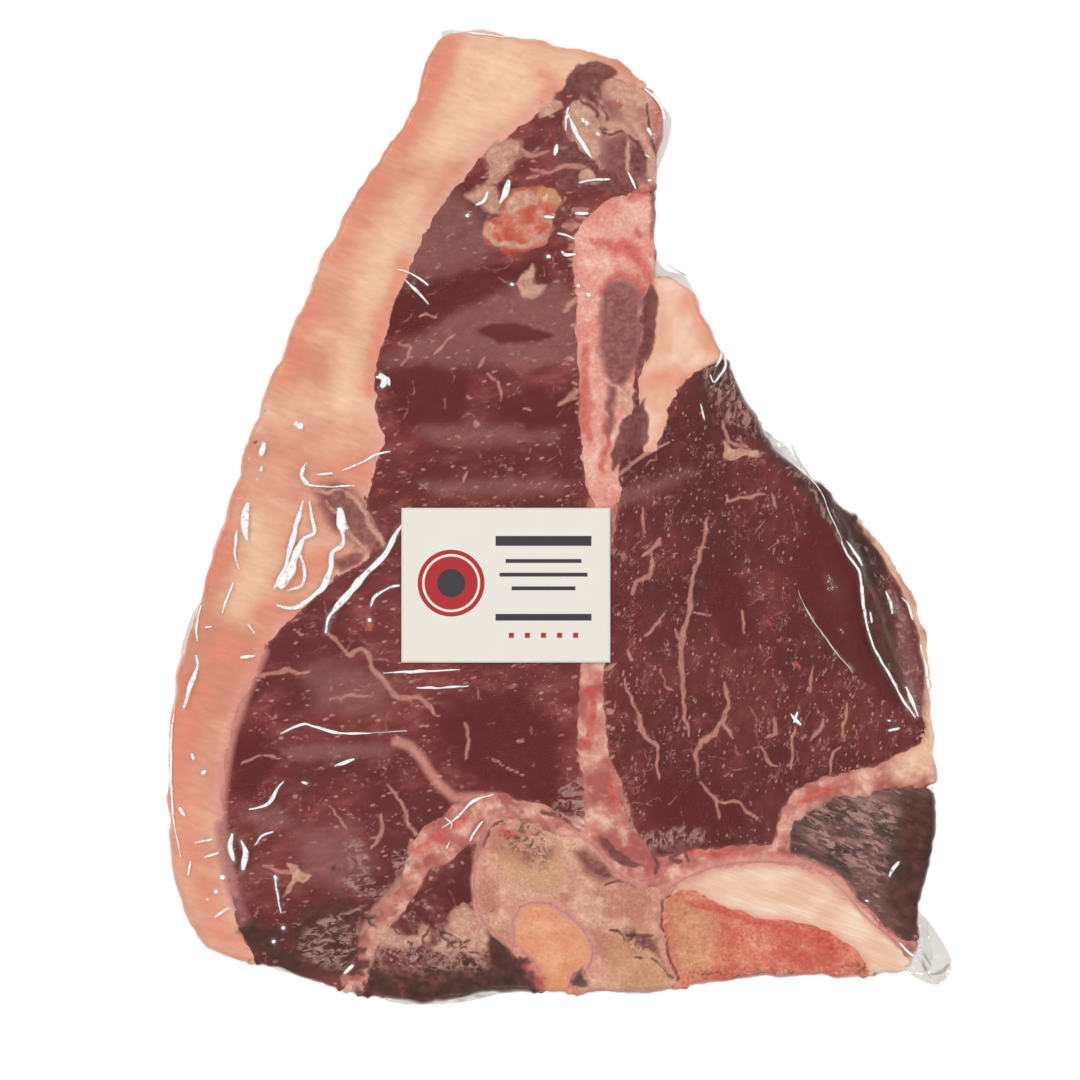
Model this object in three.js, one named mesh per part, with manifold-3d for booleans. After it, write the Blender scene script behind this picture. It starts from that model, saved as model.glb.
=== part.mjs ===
// A raw T-bone steak in a clear shrink-vacuum bag, lying flat with its cut face up, and a bare
// paper label stuck on the bag. Bone, fat and muscles run through the whole thickness of the cut.
// Millimetres, +Z up, +Y towards the thin tail end. The loops below are drawn round the middle
// of the pack, and the finished group is shifted so that its origin is the middle of its underside.
import * as THREE from "three";
import { mergeVertices } from "three/addons/utils/BufferGeometryUtils.js";
import Module from "manifold-3d";

// Driving sizes
const THICKNESS = 30; // of the cut, from the underside to the flat of the cut face
const EDGE_INSET = 5; // how far the rounded rim of the cut comes in at its top and bottom
const EDGE_HEIGHT = 7; // height of that rounding
const EDGE_STEPS = 2;
const RIM_TOP = 34; // the upper rounding would close here, so the cut face meets it half way
const PIECE_GAP = 0.3; // between neighbouring tissues
const FILM_GAP = 0.35; // between the meat and the film
const FILM_WALL = 0.45; // of the film, thicker than the real 0.1
const FILM_RIM = 0.8; // the film's lower rim stays this far off the table
const EAR_LEVEL = 11; // height of the free film ears
const EAR_WALL = 0.6;
const LABEL_GAP = 0.3; // between the film and the label
const LABEL_WALL = 0.4;
const FACE_SIZE = 280; // the uneven cut face is a square grid, wider and longer than the pack
const FACE_CELLS = 32;
const RIM_POINTS = 84; // round the cut's outline
const BELOW = -20; // cutting prisms start here
const ABOVE = 60; // and end here

// The cut's outline, clockwise from the corner of fat at the tail end.
const STEAK_OUTLINE = [
  [-29.8, 120], [-13.8, 119.3], [5.3, 115.8], [16.3, 110.8], [23.5, 104.8], [23.3, 87.3],
  [23.3, 66], [30.8, 56.8], [36.5, 45.8], [43.5, 32.8], [51.5, 17.5], [60.8, 9], [73.8, -2],
  [81.5, -11.8], [89, -25.8], [91.5, -46.8], [93, -64.8], [92.5, -82.8], [88.3, -98.3],
  [86.8, -112.8], [73.5, -115.3], [38.3, -116.5], [18, -119.5], [-16.3, -119.5],
  [-33.5, -122], [-52.5, -120], [-72.5, -113.3], [-88.8, -109.5], [-95.3, -96.5],
  [-98, -76], [-97.3, -50], [-87.8, -12.3], [-74.5, 28], [-58.3, 66.5], [-37, 102.8],
];

// The back-fat cap: its inner edge from the tail end down, then a wide sweep outside the cut.
const FAT_CAP = [
  [25.8, 106.5], [18.8, 106.3], [6.3, 111.8], [0.3, 109.3], [-2.3, 103.5], [-17, 92.8],
  [-28.8, 79.3], [-38.5, 61.8], [-44.3, 44.8], [-47, 34.3], [-45.3, 17.3], [-49.3, 2.3],
  [-45.3, -8], [-54.8, -15], [-71, -29.8], [-79, -43.8], [-84.3, -61], [-84.3, -87.8],
  [-80, -106.5], [-75.8, -116.5], [-110, -125], [-115, 0], [-100, 80], [-60, 135], [-10, 145],
  [30, 130],
];

// The white fat beside the finger bone, and the dark strap of muscle below the tenderloin.
const KIDNEY_FAT = [
  [21.8, 57.8], [26.3, 59.3], [31.3, 58], [40, 52.3], [45, 42], [39.3, 38.5], [33.8, 35.8],
  [29.3, 31.3], [25.8, 26.3], [23.5, 17.3], [20.3, 14.3], [19.5, 22.3], [19.3, 32.3],
  [21.3, 39.8], [22.8, 49.3],
];
const CHAIN_MUSCLE = [
  [57.5, -76.5], [66.3, -72], [73.8, -70.8], [79.3, -68.8], [85, -68.5], [95, -71.5],
  [99, -87.8], [94, -101], [88, -107], [83.5, -106], [75.8, -97.3], [70, -91.8],
  [63, -87.5], [57, -84.3], [56.5, -80.3],
];

// Loose scraps at the tail end, and a lump of soft fat in the lean beside them.
const TAIL_SCRAPS = [
  [3.5, 103.5], [9.3, 110.8], [19.3, 108.3], [30, 104.5], [30, 84], [24.8, 81], [15.5, 81.3],
  [10.5, 85.8], [5, 90.3], [0.5, 96.5],
];
const FAT_LUMP = [
  [-20, 72], [-18.3, 78.3], [-10.8, 80.8], [-4.5, 82], [-0.8, 78.3], [-2.5, 72], [-4.5, 67],
  [-12, 65.8], [-18.3, 67],
];

// The bones. The arch, the process and the body reach past the sawn edge at the bottom.
const FINGER_BONE = [
  [3.8, 69.3], [8, 75.3], [15, 79.3], [26, 77.3], [24.8, 68], [22, 60], [20.3, 51],
  [18.5, 39.8], [17, 27.3], [14.8, 14.8], [13.3, 2.3], [9.5, -0.3], [6.3, 4.8],
  [4.8, 19.8], [3.8, 37.3], [3.3, 52.3], [2.3, 61.8],
];
const VERTEBRA_ARCH = [
  [-13.5, -76.8], [-1.8, -79.5], [6.3, -82.3], [11.3, -88], [16.8, -92.8], [25, -94.3],
  [24, -100.3], [24.8, -106.5], [26.8, -113.3], [29.8, -122.5], [13.8, -126], [-6, -126],
  [-6.5, -116.5], [-9.5, -112], [-15, -107], [-20.5, -102], [-22.5, -93], [-21.3, -84.8],
  [-18, -79.3],
];
const JOINT_PROCESS = [
  [-11.8, -104], [-11.5, -99.8], [-8, -97.8], [-3.3, -98.3], [2, -101.3], [6, -105.8],
  [6.8, -110.3], [4.3, -114.8], [2.2, -118.5], [1.8, -127], [-6.5, -127], [-6, -117.3],
  [-8.3, -112.5], [-11.8, -108.5],
];
const VERTEBRA_BODY = [
  [25.8, -95.8], [30.3, -94.3], [35.3, -95.5], [40.8, -98], [47.5, -100.8], [56, -102],
  [63.8, -103.3], [71.3, -107.8], [75.8, -113.3], [76.8, -123], [33.8, -126],
  [29.3, -119], [26.5, -112], [24.8, -105.5], [24.3, -99],
];
const DISC_CARTILAGE = [
  [25.8, -95.3], [31.3, -91.3], [38.3, -88.8], [46.3, -87.8], [54.5, -87.5], [62.5, -89.5],
  [69.5, -93.3], [75, -99.3], [79.8, -105.3], [83.8, -109.3], [90, -121], [76, -126],
  [66, -112], [55, -106], [38.8, -102.8],
];

// Seam fat as ribbons, each station x, y and half width: the trunk down the middle, the arm
// round the arch, the arm under the tenderloin, the strip up its side, and the thin membrane.
const SEAM_RIBBONS = [
  [
    [9.8, 3, 4], [7.8, -12.8, 3.5], [7.5, -32.8, 3.2], [7.5, -47, 2.7], [7, -58.3, 3.8],
    [9.8, -67.8, 4.6], [11, -74.3, 5.4], [12.3, -80.8, 6], [18.8, -88.3, 5],
  ],
  [
    [12, -82, 5], [-1.3, -77.3, 2.4], [-9.3, -74.3, 2.6], [-17, -73.5, 3.2], [-24.3, -77, 4.5],
    [-31.3, -82.8, 5], [-36.3, -87.3, 3.2], [-38.8, -93.3, 2.2], [-43.3, -99.3, 2],
    [-47.5, -105.8, 2], [-50, -112.8, 2.2], [-54, -127, 3],
  ],
  [
    [14, -86, 5], [23.5, -89.8, 4.8], [32.5, -87.5, 3.2], [43.8, -85.3, 2.6], [53.3, -84.8, 3], [55.5, -78.3, 2],
    [59.5, -72, 2.8], [67.5, -68.3, 2.6], [76.3, -66.5, 3], [85, -64, 4.2], [94, -61.5, 6],
  ],
  [
    [93.5, -64, 5], [92.5, -52, 3], [92, -40, 2.4], [89.5, -25, 2.2], [83, -13.5, 2.2],
    [74, -2, 2],
  ],
  [
    [55, -85.8, 1.8], [62.5, -88.8, 1.7], [69.5, -92.8, 1.7], [75.3, -98.5, 1.7],
    [80.3, -104.8, 1.8], [86, -110.5, 4],
  ],
];

// Free ears and webs of film round the edge, each a loop that starts inside the cut.
const FILM_EARS = [
  [[-31, 122.5], [-27.3, 122.8], [-19.3, 121.8], [-14.8, 119.5], [-16, 115], [-29, 115]],
  [[23.3, 105.3], [27.5, 100.3], [27, 94.8], [25.3, 89.8], [23, 85.8], [20, 89.8], [20, 102.3]],
  [[22.5, 67.3], [26, 62], [31.3, 60], [34.8, 52.3], [36.8, 46], [31, 49], [24, 58]],
  [[43.5, 33.3], [49.3, 22.3], [57, 16.8], [61.8, 8.3], [56, 8], [46, 22]],
  [
    [89.3, -99.8], [93.5, -104.3], [98.3, -112.3], [97.8, -117], [93.5, -119.5],
    [84.3, -114.5], [81, -110], [85, -103],
  ],
  [
    [-58.8, -119], [-46.3, -122.8], [-42.3, -124.3], [-28, -124.3], [-16.3, -122],
    [-5, -120.3], [-6, -116], [-56, -116],
  ],
  [
    [-90.5, -108.5], [-87.8, -111.3], [-78, -113.5], [-71, -116.3], [-61.3, -117.8],
    [-66, -111], [-79, -105], [-88, -105],
  ],
  [
    [-88.5, -15.8], [-95.3, -29], [-98.5, -45.3], [-99.3, -60], [-99, -76], [-95, -76],
    [-94, -48], [-88, -23],
  ],
];

// The label: a plain sheet on top of the film.
const LABEL = { centre: [-15, -19.3], width: 52, height: 38.5, corner: 0.8 };

// The cut face: broad swells and hollows, each centre, radius and rise.
const SWELLS = [
  { at: [-22, -42], radius: 34, rise: 1.3 }, // loin muscle
  { at: [-18, 40], radius: 26, rise: 0.8 }, // upper loin
  { at: [44, -38], radius: 30, rise: 1.6 }, // tenderloin
  { at: [-68, 5], radius: 20, rise: 0.9 }, // back fat
  { at: [76, -84], radius: 16, rise: -1.8 }, // strap muscle
  { at: [-66, -98], radius: 18, rise: -2.6 }, // lower corner
  { at: [12, 96], radius: 14, rise: 1.5 }, // folded tail tissue
  { at: [22, 40], radius: 9, rise: -1.2 }, // beside the finger bone
  { at: [-2, -100], radius: 20, rise: 0.7 }, // sawn arch
];
const TAIL_THINNING = { from: 55, to: 122, drop: 6 }; // along +Y

// The tenderloin's flank rolls off to the right: its outward direction, and its section as
// distance along that direction and height.
const FLANK_DIRECTION = [0.93, 0.37];
const FLANK_SECTION = [
  [50, 36], [57.5, 31.8], [63.5, 29], [68.5, 25], [72.5, 19.5], [75, 13], [76, 6], [76, -20],
];

const wasm = await Module();
wasm.setup();

/** Points spaced evenly along a smooth closed curve through the given ones, anticlockwise. */
function smoothLoop(points, count) {
  const curve = new THREE.CatmullRomCurve3(
    points.map(([x, y]) => new THREE.Vector3(x, y, 0)), true, "centripetal",
  );
  const loop = curve.getSpacedPoints(count).slice(0, count).map((p) => new THREE.Vector2(p.x, p.y));
  return THREE.ShapeUtils.area(loop) < 0 ? loop.reverse() : loop;
}

/** An anticlockwise loop moved outwards by a distance, point by point. */
function grow(loop, distance) {
  return loop.map((p, i) => {
    const before = loop[(i + loop.length - 1) % loop.length];
    const after = loop[(i + 1) % loop.length];
    const along = after.clone().sub(before).normalize();
    return new THREE.Vector2(p.x + along.y * distance, p.y - along.x * distance);
  });
}

/** The outline of a ribbon whose stations are x, y and half width, rounded at both ends. */
function ribbonLoop(stations) {
  const curve = new THREE.CatmullRomCurve3(
    stations.map(([x, y, half]) => new THREE.Vector3(x, y, half)), false, "centripetal",
  );
  const steps = stations.length * 3;
  const left = [];
  const right = [];
  for (let i = 0; i <= steps; i++) {
    const p = curve.getPoint(i / steps);
    const t = curve.getTangent(i / steps);
    const across = new THREE.Vector2(-t.y, t.x).normalize().multiplyScalar(p.z);
    left.push(new THREE.Vector2(p.x + across.x, p.y + across.y));
    right.unshift(new THREE.Vector2(p.x - across.x, p.y - across.y));
  }
  const loop = [...left, ...right];
  return THREE.ShapeUtils.area(loop) < 0 ? loop.reverse() : loop;
}

/** A three.js geometry as a manifold-3d solid. */
function solidOf(geometry) {
  const bare = geometry.clone();
  bare.deleteAttribute("normal");
  bare.deleteAttribute("uv");
  const merged = mergeVertices(bare, 1e-4);
  return new wasm.Manifold(new wasm.Mesh({
    numProp: 3,
    vertProperties: new Float32Array(merged.attributes.position.array),
    triVerts: new Uint32Array(merged.index.array),
  }));
}

/** A manifold-3d solid as a three.js geometry with shading normals. */
function geometryOf(solid) {
  const mesh = solid.getMesh();
  const geometry = new THREE.BufferGeometry();
  geometry.setAttribute("position", new THREE.BufferAttribute(mesh.vertProperties, 3));
  geometry.setIndex(new THREE.BufferAttribute(mesh.triVerts, 1));
  geometry.computeVertexNormals();
  return geometry;
}

/** The upright prism over a loop, from one height to another. */
function prism(loop, from = BELOW, to = ABOVE) {
  const geometry = new THREE.ExtrudeGeometry(new THREE.Shape(loop), {
    depth: to - from, bevelEnabled: false, curveSegments: 1,
  });
  return solidOf(geometry.translate(0, 0, from));
}

/** Height of the cut face at a point. */
function faceHeight(x, y) {
  let z = THICKNESS;
  for (const { at, radius, rise } of SWELLS) {
    z += rise * Math.exp(-((x - at[0]) ** 2 + (y - at[1]) ** 2) / radius ** 2);
  }
  z -= TAIL_THINNING.drop * THREE.MathUtils.smoothstep(y, TAIL_THINNING.from, TAIL_THINNING.to);
  return z;
}

/** Everything below the uneven cut face raised by a distance. */
function belowFace(raise) {
  const block = new THREE.BoxGeometry(FACE_SIZE, FACE_SIZE, -BELOW, FACE_CELLS, FACE_CELLS, 1);
  block.translate(0, 0, BELOW / 2);
  const p = block.attributes.position;
  for (let i = 0; i < p.count; i++) {
    if (p.getZ(i) > BELOW / 2) p.setZ(i, faceHeight(p.getX(i), p.getY(i)) + raise);
  }
  return solidOf(block);
}

/** The cut's outline as a slab with rounded rims, grown on all sides by a distance. */
function roundedSlab(outline, distance) {
  const geometry = new THREE.ExtrudeGeometry(new THREE.Shape(grow(outline, distance)), {
    depth: RIM_TOP + 2 * distance - 2 * EDGE_HEIGHT,
    bevelEnabled: true,
    bevelThickness: EDGE_HEIGHT,
    bevelSize: EDGE_INSET,
    bevelOffset: -EDGE_INSET,
    bevelSegments: EDGE_STEPS,
    curveSegments: 1,
  });
  return solidOf(geometry.translate(0, 0, EDGE_HEIGHT - distance));
}

/** Everything inside the tenderloin's rolled-off flank, grown by a distance. */
function insideFlank(distance) {
  const section = FLANK_SECTION.map(([out, z]) => new THREE.Vector2(out + distance, z + distance));
  const [, top] = FLANK_SECTION[0];
  section.push(new THREE.Vector2(-FACE_SIZE, BELOW), new THREE.Vector2(-FACE_SIZE, top + distance));
  const geometry = new THREE.ExtrudeGeometry(new THREE.Shape(section), {
    depth: 2 * FACE_SIZE, bevelEnabled: false, curveSegments: 1,
  });
  const out = new THREE.Vector3(...FLANK_DIRECTION, 0).normalize();
  const up = new THREE.Vector3(0, 0, 1);
  const along = out.clone().cross(up);
  geometry.translate(0, 0, -FACE_SIZE);
  return solidOf(geometry.applyMatrix4(new THREE.Matrix4().makeBasis(out, up, along)));
}

/** The largest separate body of a solid, without the scraps that cutting leaves. */
function largest(solid) {
  return solid.decompose().reduce((a, b) => (b.volume() > a.volume() ? b : a));
}

/** The separate body of a solid that holds most of an upright rod at a point. */
function bodyAt(solid, [x, y]) {
  const rod = solidOf(new THREE.BoxGeometry(2, 2, ABOVE).translate(x, y, 0));
  const held = (body) => body.intersect(rod).volume();
  return solid.decompose().reduce((a, b) => (held(b) > held(a) ? b : a));
}

/** Cuts the tissues out of the whole steak, each clear of those cut before it. */
function carveTissues(steak) {
  const drawn = [
    ["joint_process", [smoothLoop(JOINT_PROCESS, 36)]],
    ["vertebra_arch", [smoothLoop(VERTEBRA_ARCH, 48)]],
    ["vertebra_body", [smoothLoop(VERTEBRA_BODY, 44)]],
    ["disc_cartilage", [smoothLoop(DISC_CARTILAGE, 44)]],
    ["finger_bone", [smoothLoop(FINGER_BONE, 44)]],
    ["kidney_fat", [smoothLoop(KIDNEY_FAT, 32)]],
    ["fat_cap", [smoothLoop(FAT_CAP, 90)]],
    ["tail_scraps", [smoothLoop(TAIL_SCRAPS, 30)]],
    ["fat_lump", [smoothLoop(FAT_LUMP, 26)]],
    ["chain_muscle", [smoothLoop(CHAIN_MUSCLE, 32)]],
    ["seam_fat", SEAM_RIBBONS.map(ribbonLoop)],
  ];
  const tissues = new Map();
  let left = steak;
  for (const [name, loops] of drawn) {
    const shape = wasm.Manifold.union(loops.map((loop) => prism(loop)));
    const wider = wasm.Manifold.union(loops.map((loop) => prism(grow(loop, PIECE_GAP))));
    tissues.set(name, largest(left.intersect(shape)));
    left = left.subtract(wider);
  }
  tissues.set("striploin", bodyAt(left, [-30, -30]));
  tissues.set("tenderloin", bodyAt(left, [45, -40]));
  tissues.set("inner_muscle", bodyAt(left, [-30, -95]));
  return tissues;
}

/** The whole cut, grown on all sides by a distance. */
function makeCut(outline, distance) {
  return roundedSlab(outline, distance)
    .intersect(belowFace(distance))
    .intersect(insideFlank(distance));
}

/** The bag: a skin over the top and sides, open underneath, with its free ears. */
function makeBag(outline) {
  const inside = makeCut(outline, FILM_GAP);
  const outside = makeCut(outline, FILM_GAP + FILM_WALL);
  const ears = FILM_EARS.map((ear) => prism(
    smoothLoop(ear, ear.length * 4), EAR_LEVEL, EAR_LEVEL + EAR_WALL,
  ));
  const table = solidOf(new THREE.BoxGeometry(400, 400, 40).translate(0, 0, FILM_RIM - 20));
  return largest(wasm.Manifold.union([outside, ...ears]).subtract(inside).subtract(table));
}

/** The label: a thin sheet that follows the film under it. */
function makeLabel() {
  const { centre: [x, y], width, height, corner } = LABEL;
  const shape = new THREE.Shape();
  const [w, h] = [width / 2, height / 2];
  shape.absarc(x + w - corner, y + h - corner, corner, 0, Math.PI / 2);
  shape.absarc(x - w + corner, y + h - corner, corner, Math.PI / 2, Math.PI);
  shape.absarc(x - w + corner, y - h + corner, corner, Math.PI, 1.5 * Math.PI);
  shape.absarc(x + w - corner, y - h + corner, corner, 1.5 * Math.PI, 2 * Math.PI);
  const under = FILM_GAP + FILM_WALL + LABEL_GAP;
  return prism(shape.getPoints(2).slice(0, -1))
    .intersect(belowFace(under + LABEL_WALL))
    .subtract(belowFace(under));
}

/** Colour and finish of each tissue, by name. */
const FINISHES = {
  fat_cap: [0xe2b08f, 0.45], seam_fat: [0xdf9c88, 0.45], kidney_fat: [0xe6bd9f, 0.45],
  tail_scraps: [0xa8726c, 0.45], fat_lump: [0xd98a72, 0.45],
  striploin: [0x733639, 0.4], tenderloin: [0x6c3234, 0.4], inner_muscle: [0x6e3b3d, 0.45],
  chain_muscle: [0x4c2f31, 0.5], vertebra_arch: [0xcf9d80, 0.6],
  joint_process: [0xdda07c, 0.6], vertebra_body: [0xc4664c, 0.6],
  disc_cartilage: [0xddc7ac, 0.4], finger_bone: [0xd08580, 0.5],
  bag: [0xf2f4f4, 0.08], label: [0xe8e4da, 0.5],
};

/** A named mesh of a solid in its own material. */
function meshOf(name, solid) {
  const [color, roughness] = FINISHES[name];
  const clear = name === "bag" ? { transparent: true, opacity: 0.2 } : {};
  const material = new THREE.MeshStandardMaterial({ color, roughness, metalness: 0, ...clear });
  const mesh = new THREE.Mesh(geometryOf(solid), material);
  mesh.name = name;
  return mesh;
}

/** The whole pack, its origin at the middle of its underside. */
function makePack() {
  const outline = smoothLoop(STEAK_OUTLINE, RIM_POINTS);
  const pack = new THREE.Group();
  for (const [name, solid] of carveTissues(makeCut(outline, 0))) pack.add(meshOf(name, solid));
  pack.add(meshOf("bag", makeBag(outline)));
  pack.add(meshOf("label", makeLabel()));
  const box = new THREE.Box3().setFromObject(pack);
  const middle = box.getCenter(new THREE.Vector3());
  pack.position.set(-middle.x, -middle.y, -box.min.z);
  return pack;
}

export default makePack();
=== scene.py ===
"""A raw T-bone steak in a clear shrink bag with a plain label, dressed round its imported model."""
import logging
import math
from dataclasses import dataclass, field
from enum import Enum

import bmesh
import bpy
import numpy as np
from bpy.types import ID, Material, Mesh, Node, NodeSocket, NodeTree, Object
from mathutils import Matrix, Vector
from mathutils.bvhtree import BVHTree


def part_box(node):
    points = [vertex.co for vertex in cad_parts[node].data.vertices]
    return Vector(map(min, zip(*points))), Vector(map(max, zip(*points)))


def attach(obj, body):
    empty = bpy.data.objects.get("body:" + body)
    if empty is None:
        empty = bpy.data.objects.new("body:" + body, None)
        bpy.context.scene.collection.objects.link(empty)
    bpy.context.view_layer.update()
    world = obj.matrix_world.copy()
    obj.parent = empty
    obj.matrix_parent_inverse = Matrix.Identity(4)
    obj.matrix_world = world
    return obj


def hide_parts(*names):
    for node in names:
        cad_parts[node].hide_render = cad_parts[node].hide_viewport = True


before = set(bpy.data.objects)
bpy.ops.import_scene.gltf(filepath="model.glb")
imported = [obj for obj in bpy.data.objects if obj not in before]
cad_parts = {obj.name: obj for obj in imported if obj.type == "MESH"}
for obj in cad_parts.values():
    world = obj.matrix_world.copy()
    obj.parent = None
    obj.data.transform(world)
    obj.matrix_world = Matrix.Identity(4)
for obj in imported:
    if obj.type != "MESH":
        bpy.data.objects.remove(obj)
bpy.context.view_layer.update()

BODY = "root"
MM = 0.001
PHOTO_PIXEL = 0.25 * MM  # what one photo pixel covers on the cut face
PHOTO_ORIGIN = (560.3, 516.5)  # the frame's origin, in photo pixels
PHOTO_CENTRE = (540.0, 540.0)
PHOTO_WIDTH = 1080

log = logging.getLogger("steak")

Points = tuple[float, ...]  # places on the photo, in pixels: x and y in turn
Colour = tuple[float, float, float]


def srgb(red: float, green: float, blue: float) -> Colour:
    """Linear colour of a display colour given from 0 to 255.

    Args:
        red: Red, 0 to 255.
        green: Green, 0 to 255.
        blue: Blue, 0 to 255.

    Returns:
        The linear red, green and blue.
    """
    def linear(value: float) -> float:
        """One channel, from 0 to 1."""
        v = value / 255
        return v / 12.92 if v <= 0.04045 else ((v + 0.055) / 1.055) ** 2.4
    return linear(red), linear(green), linear(blue)


def place(points: Points) -> np.ndarray:
    """Photo pixels as places in the frame.

    Args:
        points: Pixels, right and down from the photo's corner, x and y in turn.

    Returns:
        One row of x and y for each point, in metres.
    """
    out = (np.array(points, float).reshape(-1, 2) - PHOTO_ORIGIN) * PHOTO_PIXEL
    out[:, 1] *= -1
    return out


def smoothstep(x: np.ndarray, low: float, high: float) -> np.ndarray:
    """Smooth rise of many numbers from 0 at low to 1 at high."""
    t = np.clip((x - low) / (high - low), 0, 1)
    return t * t * (3 - 2 * t)


def line_distance(xy: np.ndarray, points: Points) -> tuple[np.ndarray, np.ndarray]:
    """Distance of many places from a broken line drawn on the photo.

    Args:
        xy: Places in the frame, one row each.
        points: The line's corners, in photo pixels.

    Returns:
        The distances in metres, and how far along the line the nearest point is, from 0 to 1.
    """
    corners = place(points)
    if len(corners) == 1:
        return np.hypot(*(xy - corners[0]).T), np.full(len(xy), 0.5)
    best = np.full(len(xy), np.inf)
    where = np.zeros(len(xy))
    spans = len(corners) - 1
    for index in range(spans):
        a, along = corners[index], corners[index + 1] - corners[index]
        t = np.clip(((xy - a) @ along) / max(along @ along, 1e-12), 0, 1)
        away = xy - a - t[:, None] * along
        distance = np.hypot(away[:, 0], away[:, 1])
        nearer = distance < best
        best = np.where(nearer, distance, best)
        where = np.where(nearer, (index + t) / spans, where)
    return best, where


def inside(xy: np.ndarray, corners: np.ndarray) -> np.ndarray:
    """Whether places lie inside a closed outline.

    Args:
        xy: Places, one row each.
        corners: The outline's corners, one row each.

    Returns:
        True for each place inside.
    """
    out = np.zeros(len(xy), bool)
    for a, b in zip(corners, np.roll(corners, -1, axis=0)):
        crosses = (a[1] > xy[:, 1]) != (b[1] > xy[:, 1])
        x = a[0] + (xy[:, 1] - a[1]) * (b[0] - a[0]) / (b[1] - a[1] if b[1] != a[1] else 1)
        out ^= crosses & (xy[:, 0] < x)
    return out


def flowing(points: Points, step: float) -> np.ndarray:
    """A smooth curve through the photo points, at even small steps.

    Args:
        points: The curve's points, in photo pixels.
        step: Distance between places on it, in millimetres.

    Returns:
        One row of x and y for each place, in metres.
    """
    p = place(points)
    p = np.vstack((2 * p[0] - p[1], p, 2 * p[-1] - p[-2]))
    out = []
    for a, b, c, d in zip(p[:-3], p[1:-2], p[2:-1], p[3:]):
        count = max(int(np.hypot(*(c - b)) / (step * MM)), 1)
        for t in np.arange(count) / count:
            out.append(0.5 * (2 * b + (c - a) * t + (2 * a - 5 * b + 4 * c - d) * t * t
                              + (3 * b - a - 3 * c + d) * t ** 3))
    out.append(p[-2])
    return np.array(out)


class SoftNoise:
    """Smooth seeded noise from -1 to 1 on a repeating lattice."""

    SIDE = 24  # lattice points each way before it repeats
    SHIFT = 1000.0  # keeps every place on the lattice's positive side

    def __init__(self, seed: int) -> None:
        """Draws the lattice from a seed."""
        self.lattice = np.random.default_rng(seed).uniform(-1, 1, (self.SIDE,) * 3)

    def __call__(self, co: np.ndarray, size: float) -> np.ndarray:
        """The noise at many places.

        Args:
            co: Places, one row of x, y and z each.
            size: Distance between the lattice's points.

        Returns:
            One value for each place.
        """
        p = co / size + self.SHIFT
        cell = np.floor(p).astype(int)
        t = p - cell
        t = t * t * (3 - 2 * t)
        total = np.zeros(len(co))
        for corner in np.ndindex(2, 2, 2):
            index = (cell + corner) % self.SIDE
            weight = np.prod(np.where(corner, t, 1 - t), axis=1)
            total += weight * self.lattice[index[:, 0], index[:, 1], index[:, 2]]
        return total


class Layer(Enum):
    """What a stroke lays over a tissue, from the lowest to the uppermost."""

    PALE = "pale"
    # painted sheen: the film's soft reflection over the meat, laid in as colour
    PAINTED_SHEEN = "haze"
    BLOOD = "blood"
    DUSK = "dusk"
    BLUSH = "blush"
    GOLD = "gold"
    RED = "red"
    # dark lean, which also paints shade in the tail
    LEAN_AND_SHADE = "lean"
    MARROW = "marrow"
    CREAM = "cream"
    THREAD = "thread"
    FAT = "fat"
    GRISTLE = "gristle"
    VEIN = "vein"
    STAIN = "stain"
    DARK = "dark"
    # greyish membrane, and one painted highlight line on the tenderloin's flank
    SMEAR_AND_GLINT = "smear"


@dataclass(frozen=True)
class Look:
    """A layer's two drifting colours, its edge's softness and raggedness, and its strength.

    A tapered layer's lines thin towards their ends, a broken one's have gaps, and a lacy one is
    eaten through all over.
    """

    near: Colour
    far: Colour
    soft: float
    ragged: float
    strength: float = 1.0
    taper: bool = False
    broken: bool = False
    lacy: bool = False


LOOKS = {
    Layer.PALE: Look(srgb(244, 212, 176), srgb(238, 198, 164), 0.5, 0.3, 0.66),
    # Painted sheen: a pale greyish veil standing in for the film's reflection over the meat.
    Layer.PAINTED_SHEEN: Look(srgb(152, 102, 97), srgb(140, 88, 83), 0.48, 0.5, 0.56),
    Layer.BLOOD: Look(srgb(84, 8, 8), srgb(98, 18, 17), 0.3, 0.4, 0.88),
    Layer.DUSK: Look(srgb(58, 22, 15), srgb(98, 48, 38), 0.42, 1.1, 0.9),
    Layer.BLUSH: Look(srgb(226, 130, 100), srgb(224, 142, 116), 0.5, 0.4, 0.65),
    Layer.GOLD: Look(srgb(218, 170, 126), srgb(188, 134, 92), 0.48, 0.8, 0.6),
    Layer.RED: Look(srgb(180, 46, 43), srgb(214, 104, 92), 0.44, 1.1, 0.76),
    # Dark lean, which also paints shade beside the tail's raised flap and in its hole.
    Layer.LEAN_AND_SHADE: Look(srgb(98, 40, 37), srgb(132, 76, 71), 0.24, 1.2, 0.95),
    Layer.MARROW: Look(srgb(104, 36, 39), srgb(150, 92, 89), 0.46, 1.1, 0.9),
    Layer.CREAM: Look(srgb(222, 178, 152), srgb(188, 132, 114), 0.3, 1.9, 0.88),
    Layer.THREAD: Look(srgb(190, 130, 117), srgb(152, 92, 84), 0.28, 0.9, 0.66, True, True),
    Layer.FAT: Look(srgb(204, 146, 128), srgb(178, 114, 102), 0.3, 0.9, 0.85, True),
    Layer.GRISTLE: Look(srgb(220, 150, 134), srgb(208, 138, 126), 0.4, 0.4, 0.75),
    Layer.VEIN: Look(srgb(150, 96, 102), srgb(172, 116, 114), 0.36, 0.5, 0.6),
    Layer.STAIN: Look(srgb(60, 36, 28), srgb(110, 80, 62), 0.46, 1.0, 0.75, lacy=True),
    Layer.DARK: Look(srgb(44, 18, 14), srgb(80, 44, 36), 0.42, 1.5, 0.88),
    # Greyish membrane, which also paints one highlight line on the tenderloin's flank.
    Layer.SMEAR_AND_GLINT: Look(srgb(186, 146, 134), srgb(148, 104, 96), 0.46, 0.8, 0.85, lacy=True),
}


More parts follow.
